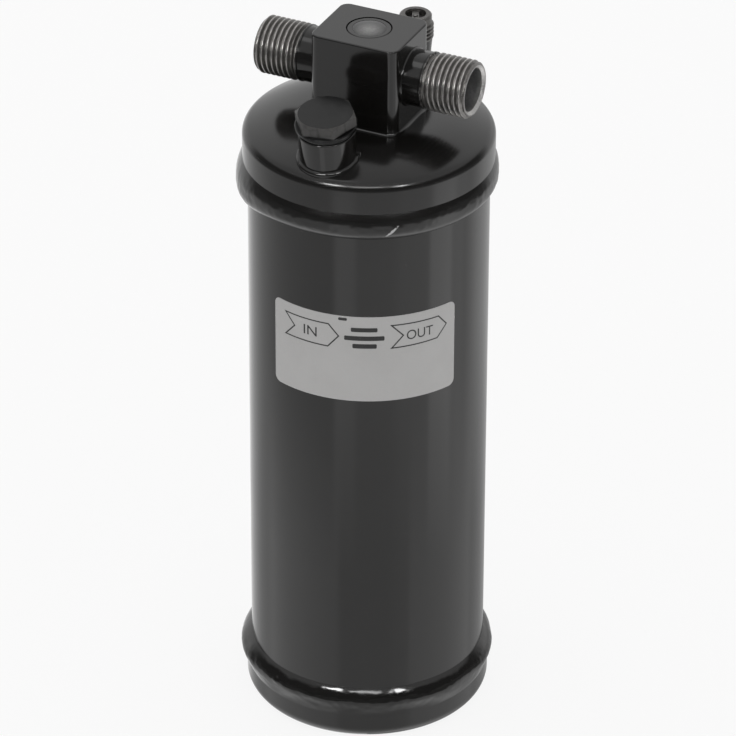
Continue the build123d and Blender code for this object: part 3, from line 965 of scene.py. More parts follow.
@dataclass
class Can:
    """The shell with its lid and bottom cap."""

    radius: float = 38.1
    wall: float = 1.6
    cap_wall: float = 1.5
    seat_radius: float = 18.3
    dome_radius: float = 45.6
    lid_corner: float = 3.7
    foot_corner: float = 4.3
    foot_inner: float = 30.0
    foot_recess: float = 2.5
    recess_slope: float = 5.0
    tube_hole: float = 4.3
    drop_at: float = -8.15
    drop_hole: float = 3.0
    plug_at: float = -28.9
    plug_hole: float = 3.0
    valve_at: tuple[float, float] = (1.596, 30.458)
    valve_hole: float = 2.0
    hole_drop: float = 5.0
    hole_run: float = 14.0
    edge: float = 0.3
    recess_round: float = 3.0
    hem: float = 0.5
    steps: int = 256

    def __post_init__(self) -> None:
        """Takes the outer sizes from the frame."""
        self.lid_low, self.lid_high = corners("top_cap")
        self.cap_low, self.cap_high = corners("bottom_cap")
        self.shell_low, self.shell_high = corners("shell_tube")
        self.cap_radius = self.lid_high.x
        self.crown = self.lid_high.z

    def dome_height(self, distance: float) -> float:
        """Height of the lid's outer face at a distance from the axis."""
        beyond = max(distance - self.seat_radius, 0.0)
        return self.crown - self.dome_radius + math.sqrt(self.dome_radius**2 - beyond**2)

    def dome_slope(self, distance: float) -> float:
        """Slope of the lid in degrees at a distance from the axis."""
        return math.degrees(math.asin(max(distance - self.seat_radius, 0.0) / self.dome_radius))

    def lid_face(self, inset: float, foot: float) -> list[Point]:
        """Half section of the lid's outer or inner face, from its middle to its foot.

        Args:
            inset: Distance of the face inside the lid's outer face.
            foot: Height that the face ends at.

        Returns:
            The section's points.
        """
        radius, corner = self.cap_radius - inset, self.lid_corner - inset
        dome = self.dome_radius - inset
        reach_in = radius - corner - self.seat_radius
        swing = math.degrees(math.asin(reach_in / (dome - corner)))
        centre = (self.seat_radius, self.crown - self.dome_radius)
        drop = math.cos(math.radians(swing)) * (dome - corner)
        face = [(0.0, self.crown - inset), (self.seat_radius / 2, self.crown - inset)]
        face += arc(centre, dome, 90, 90 - swing, 28)
        face += arc((radius - corner, centre[1] + drop), corner, 90 - swing, 0, 12)[1:]
        return face + [(radius, foot + self.hem), (radius, foot)]

    def build_lid(self) -> Piece:
        """The domed lid with its four holes.

        Returns:
            The lid.
        """
        outer = self.lid_face(0.0, self.lid_low.z)
        inner = self.lid_face(self.cap_wall, self.lid_low.z)
        lid = turned("lid", outer + inner[::-1], self.steps)
        middle = self.crown - self.hole_drop
        for x, y, radius in (
            (0.0, 0.0, self.tube_hole),
            (self.drop_at, 0.0, self.drop_hole),
            (0.0, self.plug_at, self.plug_hole),
            (*self.valve_at, self.valve_hole),
        ):
            drill(lid, (x, y, middle), radius, self.hole_run)
        smooth(lid)
        return hand_over(lid, LID_PAINT, "top_cap")

    def build_shell(self) -> Piece:
        """The drawn tube.

        Returns:
            The shell.
        """
        low, high = self.shell_low.z, self.shell_high.z
        inner = self.radius - self.wall
        tube = [
            (self.radius, (low + high) / 2),
            (self.radius, high, self.edge),
            (inner, high, self.edge),
            (inner, low, self.edge),
            (self.radius, low, self.edge),
            (self.radius, (low + high) / 2),
        ]
        return hand_over(turned("shell", rounded(tube), self.steps), BLACK, "shell_tube")

    def build_foot(self) -> Piece:
        """The bottom cap with its standing ring.

        Returns:
            The cap.
        """
        top = self.cap_high.z
        sections = []
        for inset in (0.0, self.cap_wall):
            radius, lift = self.cap_radius - inset, inset
            sections.append(
                rounded(
                    [
                        (0.0, self.foot_recess + lift),
                        (self.foot_inner - self.recess_slope, self.foot_recess + lift, self.recess_round),
                        (self.foot_inner, lift, self.recess_round),
                        (radius, lift, self.foot_corner - inset),
                        (radius, top),
                    ],
                    steps=10,
                )
            )
        return hand_over(turned("foot", sections[0] + sections[1][::-1], self.steps), BLACK, "bottom_cap")

    def build(self) -> None:
        """Builds the three pieces of the can."""
        self.build_shell()
        self.build_lid()
        self.build_foot()


def soft_limit(value: float, limit: float, margin: float) -> float:
    """A value that levels out below a limit, over a margin before it."""
    over = value - (limit - margin)
    return value if over <= 0 else limit - margin + margin * math.tanh(over / margin)


@dataclass
class WeldBead:
    """A bead of weld round the can, over the edge of a cap.

    It is heavy round one azimuth, where it swells and sags, and light round another, where it shrinks.
    A blister has an azimuth, a height, a size and a rise.
    """

    name: str
    node: str
    low_radius: float
    high_radius: float
    swell: float
    seed: float
    power: float = 2.0
    heavy_at: float = -64.5
    heavy_swell: float = 0.0
    heavy_sag: float = 0.0
    heavy_width: float = 30.0
    light_at: float = 25.5
    light_drop: float = 0.0
    light_width: float = 50.0
    blister: tuple[float, float, float, float] | None = None
    finish: object = BEAD_PAINT
    steps: int = 420
    rows: int = 26
    sink: float = 0.8
    ripple_size: float = 1.6
    ripple_height: float = 0.09
    lump_size: float = 8.0
    lump_height: float = 0.28
    lump_lean: float = 0.4
    margin: float = 0.35

    def along(self, at: Vector, middle: float, width: float) -> float:
        """Fades a change out along the bead.

        Args:
            at: A place on the bead.
            middle: Azimuth in degrees at which the change is strongest, from the front towards the right.
            width: Width of the change in degrees.

        Returns:
            1 in the middle of the change, fading to 0 on both sides.
        """
        azimuth = math.degrees(math.atan2(at.x, -at.y))
        away = (azimuth - middle + 180) % 360 - 180
        return math.exp(-((away / width) ** 2))

    def build(self) -> Piece:
        """The bead, bulging between its two toes and rippled along its run.

        Returns:
            The bead.
        """
        low, high = corners(self.node)
        half, middle = (high.z - low.z) / 2, (high.z + low.z) / 2
        shell = min(self.low_radius, self.high_radius)
        section = []
        for i in range(self.rows + 1):
            t = -1 + 2 * i / self.rows
            base = self.low_radius + (self.high_radius - self.low_radius) * (t + 1) / 2
            swell = self.swell - abs(base - shell)
            section.append((base + swell * (1 - abs(t) ** self.power), middle + half * t))
        inner = [(self.high_radius - self.sink, high.z), (self.low_radius - self.sink, low.z), section[0]]
        bead = turned(self.name, section + inner, self.steps)

        def lumpy(at: Vector) -> Vector:
            """Swells, sags and ripples a place on the bead, inside the reach of the CAD pieces.

            Args:
                at: The place on the even bead.

            Returns:
                Its place on the finished bead.
            """
            flat = Vector((at.x, at.y, 0))
            radius = flat.length
            t = (at.z - middle) / half
            share = max(0.0, 1 - t * t)
            heavy = self.along(at, self.heavy_at, self.heavy_width)
            drop = self.heavy_sag * heavy * (1 - t) / 2
            if radius < shell - self.sink / 2:
                return at - Vector((0, 0, drop))
            change = self.ripple_height * ripple(at, self.ripple_size, self.seed)
            lump = ripple(Vector((at.x, at.y, at.z * 2)), self.lump_size, self.seed)
            change += self.lump_height * (lump - self.lump_lean)
            light = self.along(at, self.light_at, self.light_width)
            change += self.heavy_swell * heavy - self.light_drop * light
            if self.blister:
                azimuth, height, size, rise = self.blister
                turn = math.radians(azimuth)
                spot = Vector((radius * math.sin(turn), -radius * math.cos(turn), height))
                change += rise * math.exp(-(((at - spot).length / size) ** 4))
            limit = BOX_REACH * radius / max(abs(at.x), abs(at.y))
            grown = soft_limit(radius + change * share, limit, self.margin)
            return flat * grown / radius + Vector((0, 0, at.z - drop))

        reshape(bead, lumpy)
        smooth(bead, 60)
        return hand_over(bead, self.finish, self.node)


@dataclass
class Braze:
    """A lumpy ring of filler round the foot of a turned part."""

    name: str
    node: str
    radius: float
    leg: float
    at: tuple[float, float, float]
    turn: tuple[float, float, float]
    seed: float
    lump: float = 0.12
    lump_size: float = 3.0
    grain: float = 0.04
    grain_size: float = 0.8

    def build(self) -> Piece:
        """The ring, swollen and sunk by turns along its run.

        Returns:
            The ring.
        """
        deselect()
        bpy.ops.mesh.primitive_torus_add(
            major_segments=160,
            minor_segments=28,
            major_radius=self.radius * MM,
            minor_radius=self.leg * MM,
        )
        ring = started(self.name)

        def swollen(at: Vector) -> Vector:
            """Swells or shrinks the ring at a place.

            Args:
                at: The place on the even ring.

            Returns:
                Its place on the lumpy ring.
            """
            flat = Vector((at.x, at.y, 0))
            core = flat.normalized() * self.radius
            offset = at - core
            size = 1 - self.lump + self.lump * ripple(core, self.lump_size, self.seed)
            return core + offset * (size + self.grain * ripple(at, self.grain_size, self.seed))

        reshape(ring, swollen)
        place(ring, self.at, self.turn)
        smooth(ring, 60)
        return hand_over(ring, BEAD_PAINT, self.node)


@dataclass
class HeadBlock:
    """The block on the lid, with its bores and the fillet of braze round its foot."""

    corner: float = 3.0
    edge: float = 0.5
    port_rise: float = 15.4
    port_bore: float = 5.0
    spigot_bore: float = 7.05
    spigot_depth: float = 3.5
    port_reach: float = 6.25
    chamber: float = 4.2
    glass_seat: float = 7.2
    glass_depth: float = 4.8
    riser: float = 3.4
    socket: float = 4.05
    socket_depth: float = 8.0
    drop_at: float = -8.15
    drop: float = 3.0
    braze_leg: float = 1.1
    braze_sink: float = 0.3
    braze_steps: int = 8
    braze_lump: float = 0.16
    braze_lump_size: float = 3.5
    braze_seed: float = 7.0

    def __post_init__(self) -> None:
        """Takes the outer sizes from the frame."""
        self.low, self.high = corners("head_block")
        self.face = self.high.x
        self.port_z = self.low.z + self.port_rise

    def build_block(self) -> Piece:
        """The rounded bar with its bores.

        Returns:
            The block.
        """
        size = self.high - self.low
        middle = (self.high + self.low) / 2
        deselect()
        bpy.ops.mesh.primitive_cube_add(size=1, location=middle * MM)
        block = started("head_block_body")
        block.scale = size * MM
        settle(block)
        edit(block)
        mark_edges(block, lambda a, b: abs(a.z - b.z) > size.z / 2)
        bpy.ops.mesh.bevel(offset=self.corner * MM, segments=12, affect="EDGES")
        mark_edges(block, lambda a, b: min(a.z, b.z) > self.high.z - HAIR)
        bpy.ops.mesh.bevel(offset=self.edge * MM, segments=5, affect="EDGES")
        leave()
        base, top = self.low.z, self.high.z
        drill(block, (0, 0, top), self.glass_seat, 2 * self.glass_depth)
        chamber_foot = self.port_z - self.port_bore
        drill(block, (0, 0, (top + chamber_foot) / 2), self.chamber, top - chamber_foot)
        drill(block, (0, 0, base), self.socket, 2 * self.socket_depth)
        drill(block, (0, 0, (base + self.port_z) / 2), self.riser, self.port_rise)
        drill(block, (self.drop_at, 0, base), self.drop, 2 * self.port_rise)
        for inner, way in ((0.0, Way.OUTLET), (self.port_reach, Way.INLET)):
            middle_x = way.value * (self.face + inner) / 2
            drill(block, (middle_x, 0, self.port_z), self.port_bore, self.face - inner + HAIR / 2, turn=90)
            mouth = (way.value * self.face, 0, self.port_z)
            drill(block, mouth, self.spigot_bore, 2 * self.spigot_depth, turn=90)
        smooth(block, 30)
        apply_modifier(block, "WEIGHTED_NORMAL", keep_sharp=True)
        return hand_over(block, BLACK, "head_block")

    def build_braze(self) -> Piece:
        """The hollow fillet round the block's foot, run round its outline.

        Returns:
            The fillet.
        """
        half = Vector((self.high.x - self.corner, self.high.y - self.corner, 0))
        deselect()
        bpy.ops.mesh.primitive_plane_add(size=1, location=(0, 0, self.low.z * MM))
        ring = started("block_foot_braze")
        ring.scale = ((self.high.x - self.low.x) * MM, (self.high.y - self.low.y) * MM, 1)
        settle(ring)
        edit(ring)
        bpy.ops.mesh.bevel(offset=self.corner * MM, segments=14, affect="VERTICES")
        bpy.ops.mesh.select_all(action="SELECT")
        bpy.ops.mesh.delete(type="ONLY_FACE")
        mark_edges(ring, lambda a, b: (a - b).length > self.corner)
        bpy.ops.mesh.subdivide(number_cuts=34)
        bpy.ops.mesh.select_all(action="SELECT")
        leg = self.braze_leg
        place_now = (0.0, 0.0)
        for step, (out, up) in enumerate(self.fillet_run()):
            if step:
                bpy.ops.mesh.extrude_region_move()
            mesh = bmesh.from_edit_mesh(ring.data)
            for vertex in mesh.verts:
                if vertex.select:
                    at = vertex.co / MM
                    core = Vector((max(-half.x, min(half.x, at.x)), max(-half.y, min(half.y, at.y)), at.z))
                    outward = (at - core).normalized()
                    vertex.co += (outward * (out - place_now[0]) + Vector((0, 0, up - place_now[1]))) * MM
            bmesh.update_edit_mesh(ring.data)
            place_now = (out, up)
        leave()
        tidy_faces(ring)

        def lumpy(at: Vector) -> Vector:
            """Swells or shrinks the fillet at a place, and leaves its back and its foot as they are.

            Args:
                at: The place on the even fillet.

            Returns:
                Its place on the lumpy fillet.
            """
            core = Vector((max(-half.x, min(half.x, at.x)), max(-half.y, min(half.y, at.y)), at.z))
            outward = (at - core).normalized()
            out = (at - core).length - self.corner
            if out < HAIR or at.z < self.low.z + HAIR:
                return at
            lump = self.braze_lump * ripple(at, self.braze_lump_size, self.braze_seed)
            return at + outward * lump * min(1.0, out / leg)

        reshape(ring, lumpy)
        smooth(ring, 50)
        return hand_over(ring, BEAD_PAINT, "block_braze")

    def fillet_run(self) -> list[Point]:
        """Section of the fillet: up its hollow face, over the block's wall, and back under.

        Returns:
            Points as (distance from the block's wall, height over the lid).
        """
        leg, sink = self.braze_leg, self.braze_sink
        turns = (math.pi / 2 * i / self.braze_steps for i in range(self.braze_steps + 1))
        face = [(leg * (1 - math.sin(turn)), leg * (1 - math.cos(turn))) for turn in turns]
        return face + [(-sink, leg), (-sink, -sink), (leg, -sink), face[0]]

    def build(self) -> None:
        """Builds the block and its foot."""
        self.build_block()
        self.build_braze()


@dataclass(frozen=True)
class Thread:
    """A helical thread, cut into a turned piece while that piece stands upright on the axis."""

    radius: float
    pitch: float
    depth: float
    crest_share: float = 0.2
    root_share: float = 0.22
    rows_per_pitch: int = 14

    def rows(self, length: float) -> int:
        """Number of rows of points that a run of thread needs."""
        return round(length / self.pitch * self.rows_per_pitch)

    def cut_depth(self, height: float, turn: float) -> float:
        """Depth of the groove.

        Args:
            height: Height on the axis.
            turn: Turn about it, as a share of a full turn.

        Returns:
            0 on the crest and the whole depth in the root.
        """
        phase = (height / self.pitch - turn) % 1.0
        flank = (1 - self.crest_share - self.root_share) / 2
        away = abs(phase - 0.5) - self.root_share / 2
        return self.depth * (1 - min(1.0, max(0.0, away / flank)))

    def carve(self, obj: Piece, low: float, high: float, inner: float) -> None:
        """Cuts the thread.

        Args:
            obj: The piece, with rows of points close enough for the thread.
            low: Height that the thread starts at.
            high: Height that it ends at.
            inner: Radius inside which nothing is cut.
        """

        def threaded(at: Vector) -> Vector:
            """Pulls a place on the piece in to the thread.

            Args:
                at: The place before the cut.

            Returns:
                Its place on the thread.
            """
            radius = math.hypot(at.x, at.y)
            if not low < at.z < high or radius < inner:
                return at
            cut = self.radius - self.cut_depth(at.z, math.atan2(at.y, at.x) / math.tau)
            scale = min(radius, cut) / radius
            return Vector((at.x * scale, at.y * scale, at.z))

        reshape(obj, threaded)


@dataclass
class Fitting:
    """One of the two turned stubs with their threads."""

    way: Way
    block: HeadBlock
    bore: float = 5.0
    spigot: float = 7.0
    neck: float = 8.85
    neck_length: float = 5.8
    ridge: float = 9.1
    ridge_length: float = 0.8
    groove: float = 8.1
    groove_length: float = 1.4
    thread: float = 9.2
    thread_length: float = 13.2
    lead: float = 1.0
    mouth: float = 6.9
    mouth_depth: float = 8.0
    mouth_bevel: float = 0.8
    pitch: float = 1.75
    depth: float = 1.05
    run_out: float = 0.5
    skin: float = 0.05
    lip_light: float = 0.9
    braze_leg: float = 0.7
    braze_seed: float = 3.0
    steps: int = 200

    def __post_init__(self) -> None:
        """Finds where each stretch of the stub starts, from the block's middle."""
        self.ridge_at = self.block.face + self.neck_length
        self.groove_at = self.ridge_at + self.ridge_length
        self.thread_at = self.groove_at + self.groove_length
        self.end = self.thread_at + self.thread_length
        self.helix = Thread(self.thread, self.pitch, self.depth)

    def section(self) -> list[Point]:
        """Half section of the stub while it stands upright on the block's middle.

        Returns:
            The points of the closed section.
        """
        face, ridge_at, groove_at = self.block.face, self.ridge_at, self.groove_at
        step = self.ridge - self.neck
        flank = (self.thread - self.groove) / 2
        outside = rounded(
            [
                (self.bore, face - self.block.spigot_depth),
                (self.spigot, face - self.block.spigot_depth, 0.2),
                (self.spigot, face),
                (self.neck, face),
                (self.neck, ridge_at, 0.15),
                (self.ridge, ridge_at + step, 0.12),
                (self.ridge, groove_at, 0.12),
                (self.groove, groove_at, 0.2),
                (self.groove, self.thread_at - flank),
            ],
            steps=4,
        )
        rows = self.helix.rows(self.thread_length + flank)
        first = self.thread_at - flank
        for i in range(1, rows + 1):
            height = first + (self.end - first) * i / rows
            tip = self.thread - self.lead + self.end - height
            outside.append((min(self.thread, self.groove + 2 * (height - first), tip), height))
        throat = self.end - self.mouth_depth
        inside = rounded(
            [
                outside[-1],
                (self.mouth + self.mouth_bevel, self.end, 0.08),
                (self.mouth, self.end - self.mouth_bevel, 0.15),
                (self.mouth, throat, 0.1),
                (self.bore, throat - (self.mouth - self.bore) / 2),
                (self.bore, face - self.block.spigot_depth),
            ],
            steps=4,
        )
        return outside + inside[1:]

    def build(self) -> Piece:
        """The fitting with its helical thread.

        Returns:
            The stub.
        """
        stub = turned(f"{self.way.name.lower()}_stub", self.section(), self.steps)
        self.helix.carve(stub, self.thread_at - self.run_out, math.inf, self.groove - self.skin)
        side = self.way.value
        place(stub, (0, 0, self.block.port_z), (0, 90 * side, 0))
        smooth(stub, 35)
        finish = PaintedThread(
            name="painted_stub_with_bare_thread",
            slot="bare_thread",
            paint=BLACK,
            centre=(0, 0, self.block.port_z),
            along=Axis.ACROSS,
            bare_from=self.groove_at,
            bare_to=self.end + self.lead,
            crest=self.thread,
            inside=self.mouth + self.mouth_bevel + 0.1,
            # The bore is painted light for lip_light in from the end, and painted darker as shade beyond
            bore_shade_from=self.end - self.lip_light,
        )
        hand_over(stub, finish, f"{self.way.name.lower()}_fitting")
        Braze(
            f"{self.way.name.lower()}_neck_braze",
            f"{self.way.name.lower()}_braze",
            self.neck,
            self.braze_leg,
            (side * self.block.face, 0, self.block.port_z),
            (0, 90, 0),
            seed=self.braze_seed + side,
        ).build()
        return stub


@dataclass
class SightGlass:
    """The stepped ring and crowned glass in the block's top."""

    seat: float = 7.17
    groove: float = 6.85
    groove_depth: float = 0.8
    glass: float = 5.2
    fit: float = 0.02
    lip: float = 4.6
    lip_height: float = 0.7
    rise: float = 0.5
    steps: int = 144

    def build(self) -> None:
        """The ring and the glass."""
        low, high = corners("sight_glass_ring")
        base, top = low.z, high.z
        inner = self.glass + self.fit
        ring = rounded(
            [
                (self.lip, base + 0.3),
                (self.lip, base, 0.1),
                (self.seat, base, 0.2),
                (self.seat, top - self.groove_depth, 0.15),
                (self.groove, top - self.groove_depth, 0.1),
                (self.groove, top, 0.25),
                (inner, top, 0.15),
                (inner, base + self.lip_height),
                (self.lip, base + self.lip_height, 0.1),
                (self.lip, base + 0.3),
            ],
            steps=4,
        )
        hand_over(turned("glass_ring", ring, self.steps), BLACK, "sight_glass_ring")
        foot, crown = base + self.lip_height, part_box("sight_glass_lens")[1][2] / MM
        edge = crown - self.rise
        ball = (self.glass**2 + self.rise**2) / (2 * self.rise)
        swing = math.degrees(math.asin(self.glass / ball))
        lens = [(0.0, foot), (self.glass, foot), (self.glass, edge - 0.1)]
        lens += arc((0.0, crown - ball), ball, 90 - swing, 90, 14)
        lens[-1] = (0.0, crown)
        hand_over(turned("glass_lens", lens, self.steps), HazyGlass(), "sight_glass_lens")


@dataclass
class PluggedPort:
    """The boss that leans out of the lid's front, with its seal and hexagon plug."""

    can: Can
    lean: float = 8.0
    radius: float = 9.0
    length: float = 9.35
    rim_edge: float = 0.4
    bore: float = 5.05
    bore_depth: float = 7.6
    run_in: float = 4.0
    settle_depth: float = 1.3
    seal_radius: float = 8.7
    seal_inner: float = 5.6
    seal_height: float = 1.3
    seal_edge: float = 0.4
    flange: float = 9.7
    flange_height: float = 1.2
    flange_edge: float = 0.3
    flats: float = 17.0
    corner_at: float = 9.5
    hex_height: float = 3.9
    face_radius: float = 8.44
    bevel_angle: float = 30.0
    shank: float = 5.0
    shank_length: float = 6.8
    hex_sink: float = 0.4
    hex_edge: float = 0.22
    sharpest: float = 22.0
    braze_leg: float = 1.3
    braze_sink: float = 0.6
    steps: int = 160

    def __post_init__(self) -> None:
        """Finds the foot on the lid and the slope there."""
        distance = abs(self.can.plug_at)
        self.slope = self.can.dome_slope(distance)
        self.foot = Vector((0, self.can.plug_at, self.can.dome_height(distance)))
        slope = math.radians(self.slope)
        self.ground_normal = Vector((0, -math.sin(slope), math.cos(slope)))
        self.seal_top = self.length + self.seal_height
        self.flange_top = self.seal_top + self.flange_height

    def stand(self, obj: Piece) -> None:
        """Sets a piece that was made upright on the port's own leaning axis."""
        place(obj, self.foot, (self.lean, 0, 0))

    def build_boss(self) -> Piece:
        """The turned boss, cut off along the slope of the lid.

        Returns:
            The boss.
        """
        floor = self.length - self.bore_depth
        section = rounded(
            [
                (self.can.plug_hole, -self.run_in),
                (self.radius, -self.run_in),
                (self.radius, self.length, self.rim_edge),
                (self.bore, self.length, 0.15),
                (self.bore, floor),
                (self.can.plug_hole, floor),
                (self.can.plug_hole, -self.run_in),
            ],
            steps=8,
        )
        boss = turned("plug_boss_body", section, self.steps)
        self.stand(boss)
        cut = self.foot - self.ground_normal * self.settle_depth
        edit(boss)
        bpy.ops.mesh.bisect(plane_co=cut * MM, plane_no=self.ground_normal, clear_inner=True, use_fill=True)
        bpy.ops.mesh.select_all(action="SELECT")
        bpy.ops.mesh.normals_make_consistent(inside=False)
        leave()
        smooth(boss)
        return hand_over(boss, BLACK, "plug_boss")

    def build_seal(self) -> Piece:
        """The rubber washer under the flange.

        Returns:
            The washer.
        """
        edge, base = self.seal_edge, self.length
        middle = (self.seal_radius + self.seal_inner) / 2
        ring = rounded(
            [
                (middle, base),
                (self.seal_radius, base, edge),
                (self.seal_radius, self.seal_top, edge),
                (self.seal_inner, self.seal_top, edge),
                (self.seal_inner, base, edge),
                (middle, base),
            ]
        )
        seal = turned("plug_washer", ring, 144)
        self.stand(seal)
        return hand_over(seal, RUBBER, "plug_seal")

    def build_plug(self) -> Piece:
        """The hexagon with its flange and shank.

        Returns:
            The plug.
        """
        tip = self.seal_top - self.shank_length
        shank = rounded(
            [
                (0.0, self.flange_top),
                (self.flange, self.flange_top, self.flange_edge),
                (self.flange, self.seal_top, self.flange_edge),
                (self.shank, self.seal_top, 0.2),
                (self.shank, tip, 0.5),
                (0.0, tip),
            ],
            steps=6,
        )
        body = turned("plug_flange", shank, self.steps)
        top = self.flange_top + self.hex_height
        depth = self.hex_height + self.hex_sink
        deselect()
        bpy.ops.mesh.primitive_cylinder_add(
            vertices=6,
            radius=self.flats / 2 / math.cos(math.pi / 6) * MM,
            depth=depth * MM,
            location=(0, 0, (top - depth / 2) * MM),
            rotation=(0, 0, math.radians(self.corner_at - 30)),
        )
        hexagon = started("plug_hexagon")
        settle(hexagon)
        wide = self.flats
        below = self.flange_top - self.hex_height
        cone = [
            (0.0, below),
            (wide, below),
            (wide, top - (wide - self.face_radius) * math.tan(math.radians(self.bevel_angle))),
            (self.face_radius, top),
            (0.0, top),
        ]
        combine(hexagon, turned("bevel_cone", cone, 192), "INTERSECT")
        sharpest = math.radians(self.sharpest)
        edge = self.hex_edge * MM
        apply_modifier(hexagon, "BEVEL", width=edge, segments=3, limit_method="ANGLE", angle_limit=sharpest)
        smooth(hexagon, 30)
        apply_modifier(hexagon, "WEIGHTED_NORMAL", keep_sharp=True)
        plug = weld_together("hexagon_plug", [body, hexagon])
        self.stand(plug)
        return hand_over(plug, PLUG_PAINT, "port_plug")

    def build(self) -> None:
        """Builds the boss, its braze, the seal and the plug."""
        self.build_boss()
        self.build_seal()
        self.build_plug()
        Braze(
            "plug_foot_braze",
            "boss_braze",
            self.radius,
            self.braze_leg,
            self.foot - self.ground_normal * self.braze_sink,
            (self.slope, 0, 0),
            seed=11.0,
        ).build()


@dataclass
class ChargeValve:
    """The threaded valve stem behind the block, with its core."""

    can: Can
    land: float = 5.1
    land_length: float = 2.9
    bevel: float = 0.5
    thread: float = 5.75
    thread_length: float = 5.0
    waist_length: float = 4.6
    root: float = 5.0
    mouth: float = 3.3
    mouth_depth: float = 5.0
    bore: float = 2.75
    pitch: float = 1.27
    run_in: float = 1.0
    run_out: float = 0.1
    bare_lap: float = 0.4
    braze_leg: float = 1.3
    braze_seed: float = 5.0
    steps: int = 144

    def build(self) -> None:
        """Builds the stem and its braze."""
        low, high = corners("charge_valve_body")
        rim = high.z
        x, y = (low.x + high.x) / 2, (low.y + high.y) / 2
        top = rim - self.land_length
        foot = top - self.thread_length
        step = self.thread - self.land
        helix = Thread(self.thread, self.pitch, self.thread - self.root)
        distance = math.hypot(x, y)
        ground = self.can.dome_height(distance)
        start = ground - self.run_in
        outside = rounded(
            [
                (self.bore, start),
                (self.root, start),
                (self.root, foot - self.waist_length),
                (self.thread - step / 2, foot - step / 2),
                (self.thread, foot),
            ]
        )
        straight = self.thread_length - step
        rows = helix.rows(straight)
        outside += [(self.thread, foot + straight * i / rows) for i in range(1, rows + 1)]
        inside = rounded(
            [
                outside[-1],
                (self.land, top, 0.1),
                (self.land, rim - self.bevel, 0.15),
                (self.land - self.bevel, rim, 0.15),
                (self.mouth, rim, 0.12),
                (self.mouth, rim - self.mouth_depth),
                (self.bore, rim - self.mouth_depth),
                (self.bore, start),
            ],
            steps=4,
        )
        stem = turned("valve_stem", outside + inside[1:], self.steps)
        helix.carve(stem, foot - self.run_out, top, self.root)
        place(stem, (x, y, 0))
        smooth(stem)
        finish = PaintedThread(
            name="painted_valve_stem",
            slot="bare_thread",
            paint=BLACK,
            centre=(x, y, 0),
            along=Axis.UP,
            bare_from=foot - self.bare_lap,
            bare_to=rim + self.land_length,
            crest=self.thread,
            # A darker stem, with a fainter painted highlight on its crests
            metal_low=0.12,
            crest_highlight_grey=0.2,
        )
        hand_over(stem, finish, "charge_valve_body")
        lean = self.can.dome_slope(distance)
        Braze(
            "valve_foot_braze",
            "valve_braze",
            self.root,
            self.braze_leg,
            (x, y, ground),
            (-lean, 0, math.degrees(math.atan2(y, x)) - 90),
            seed=self.braze_seed,
        ).build()


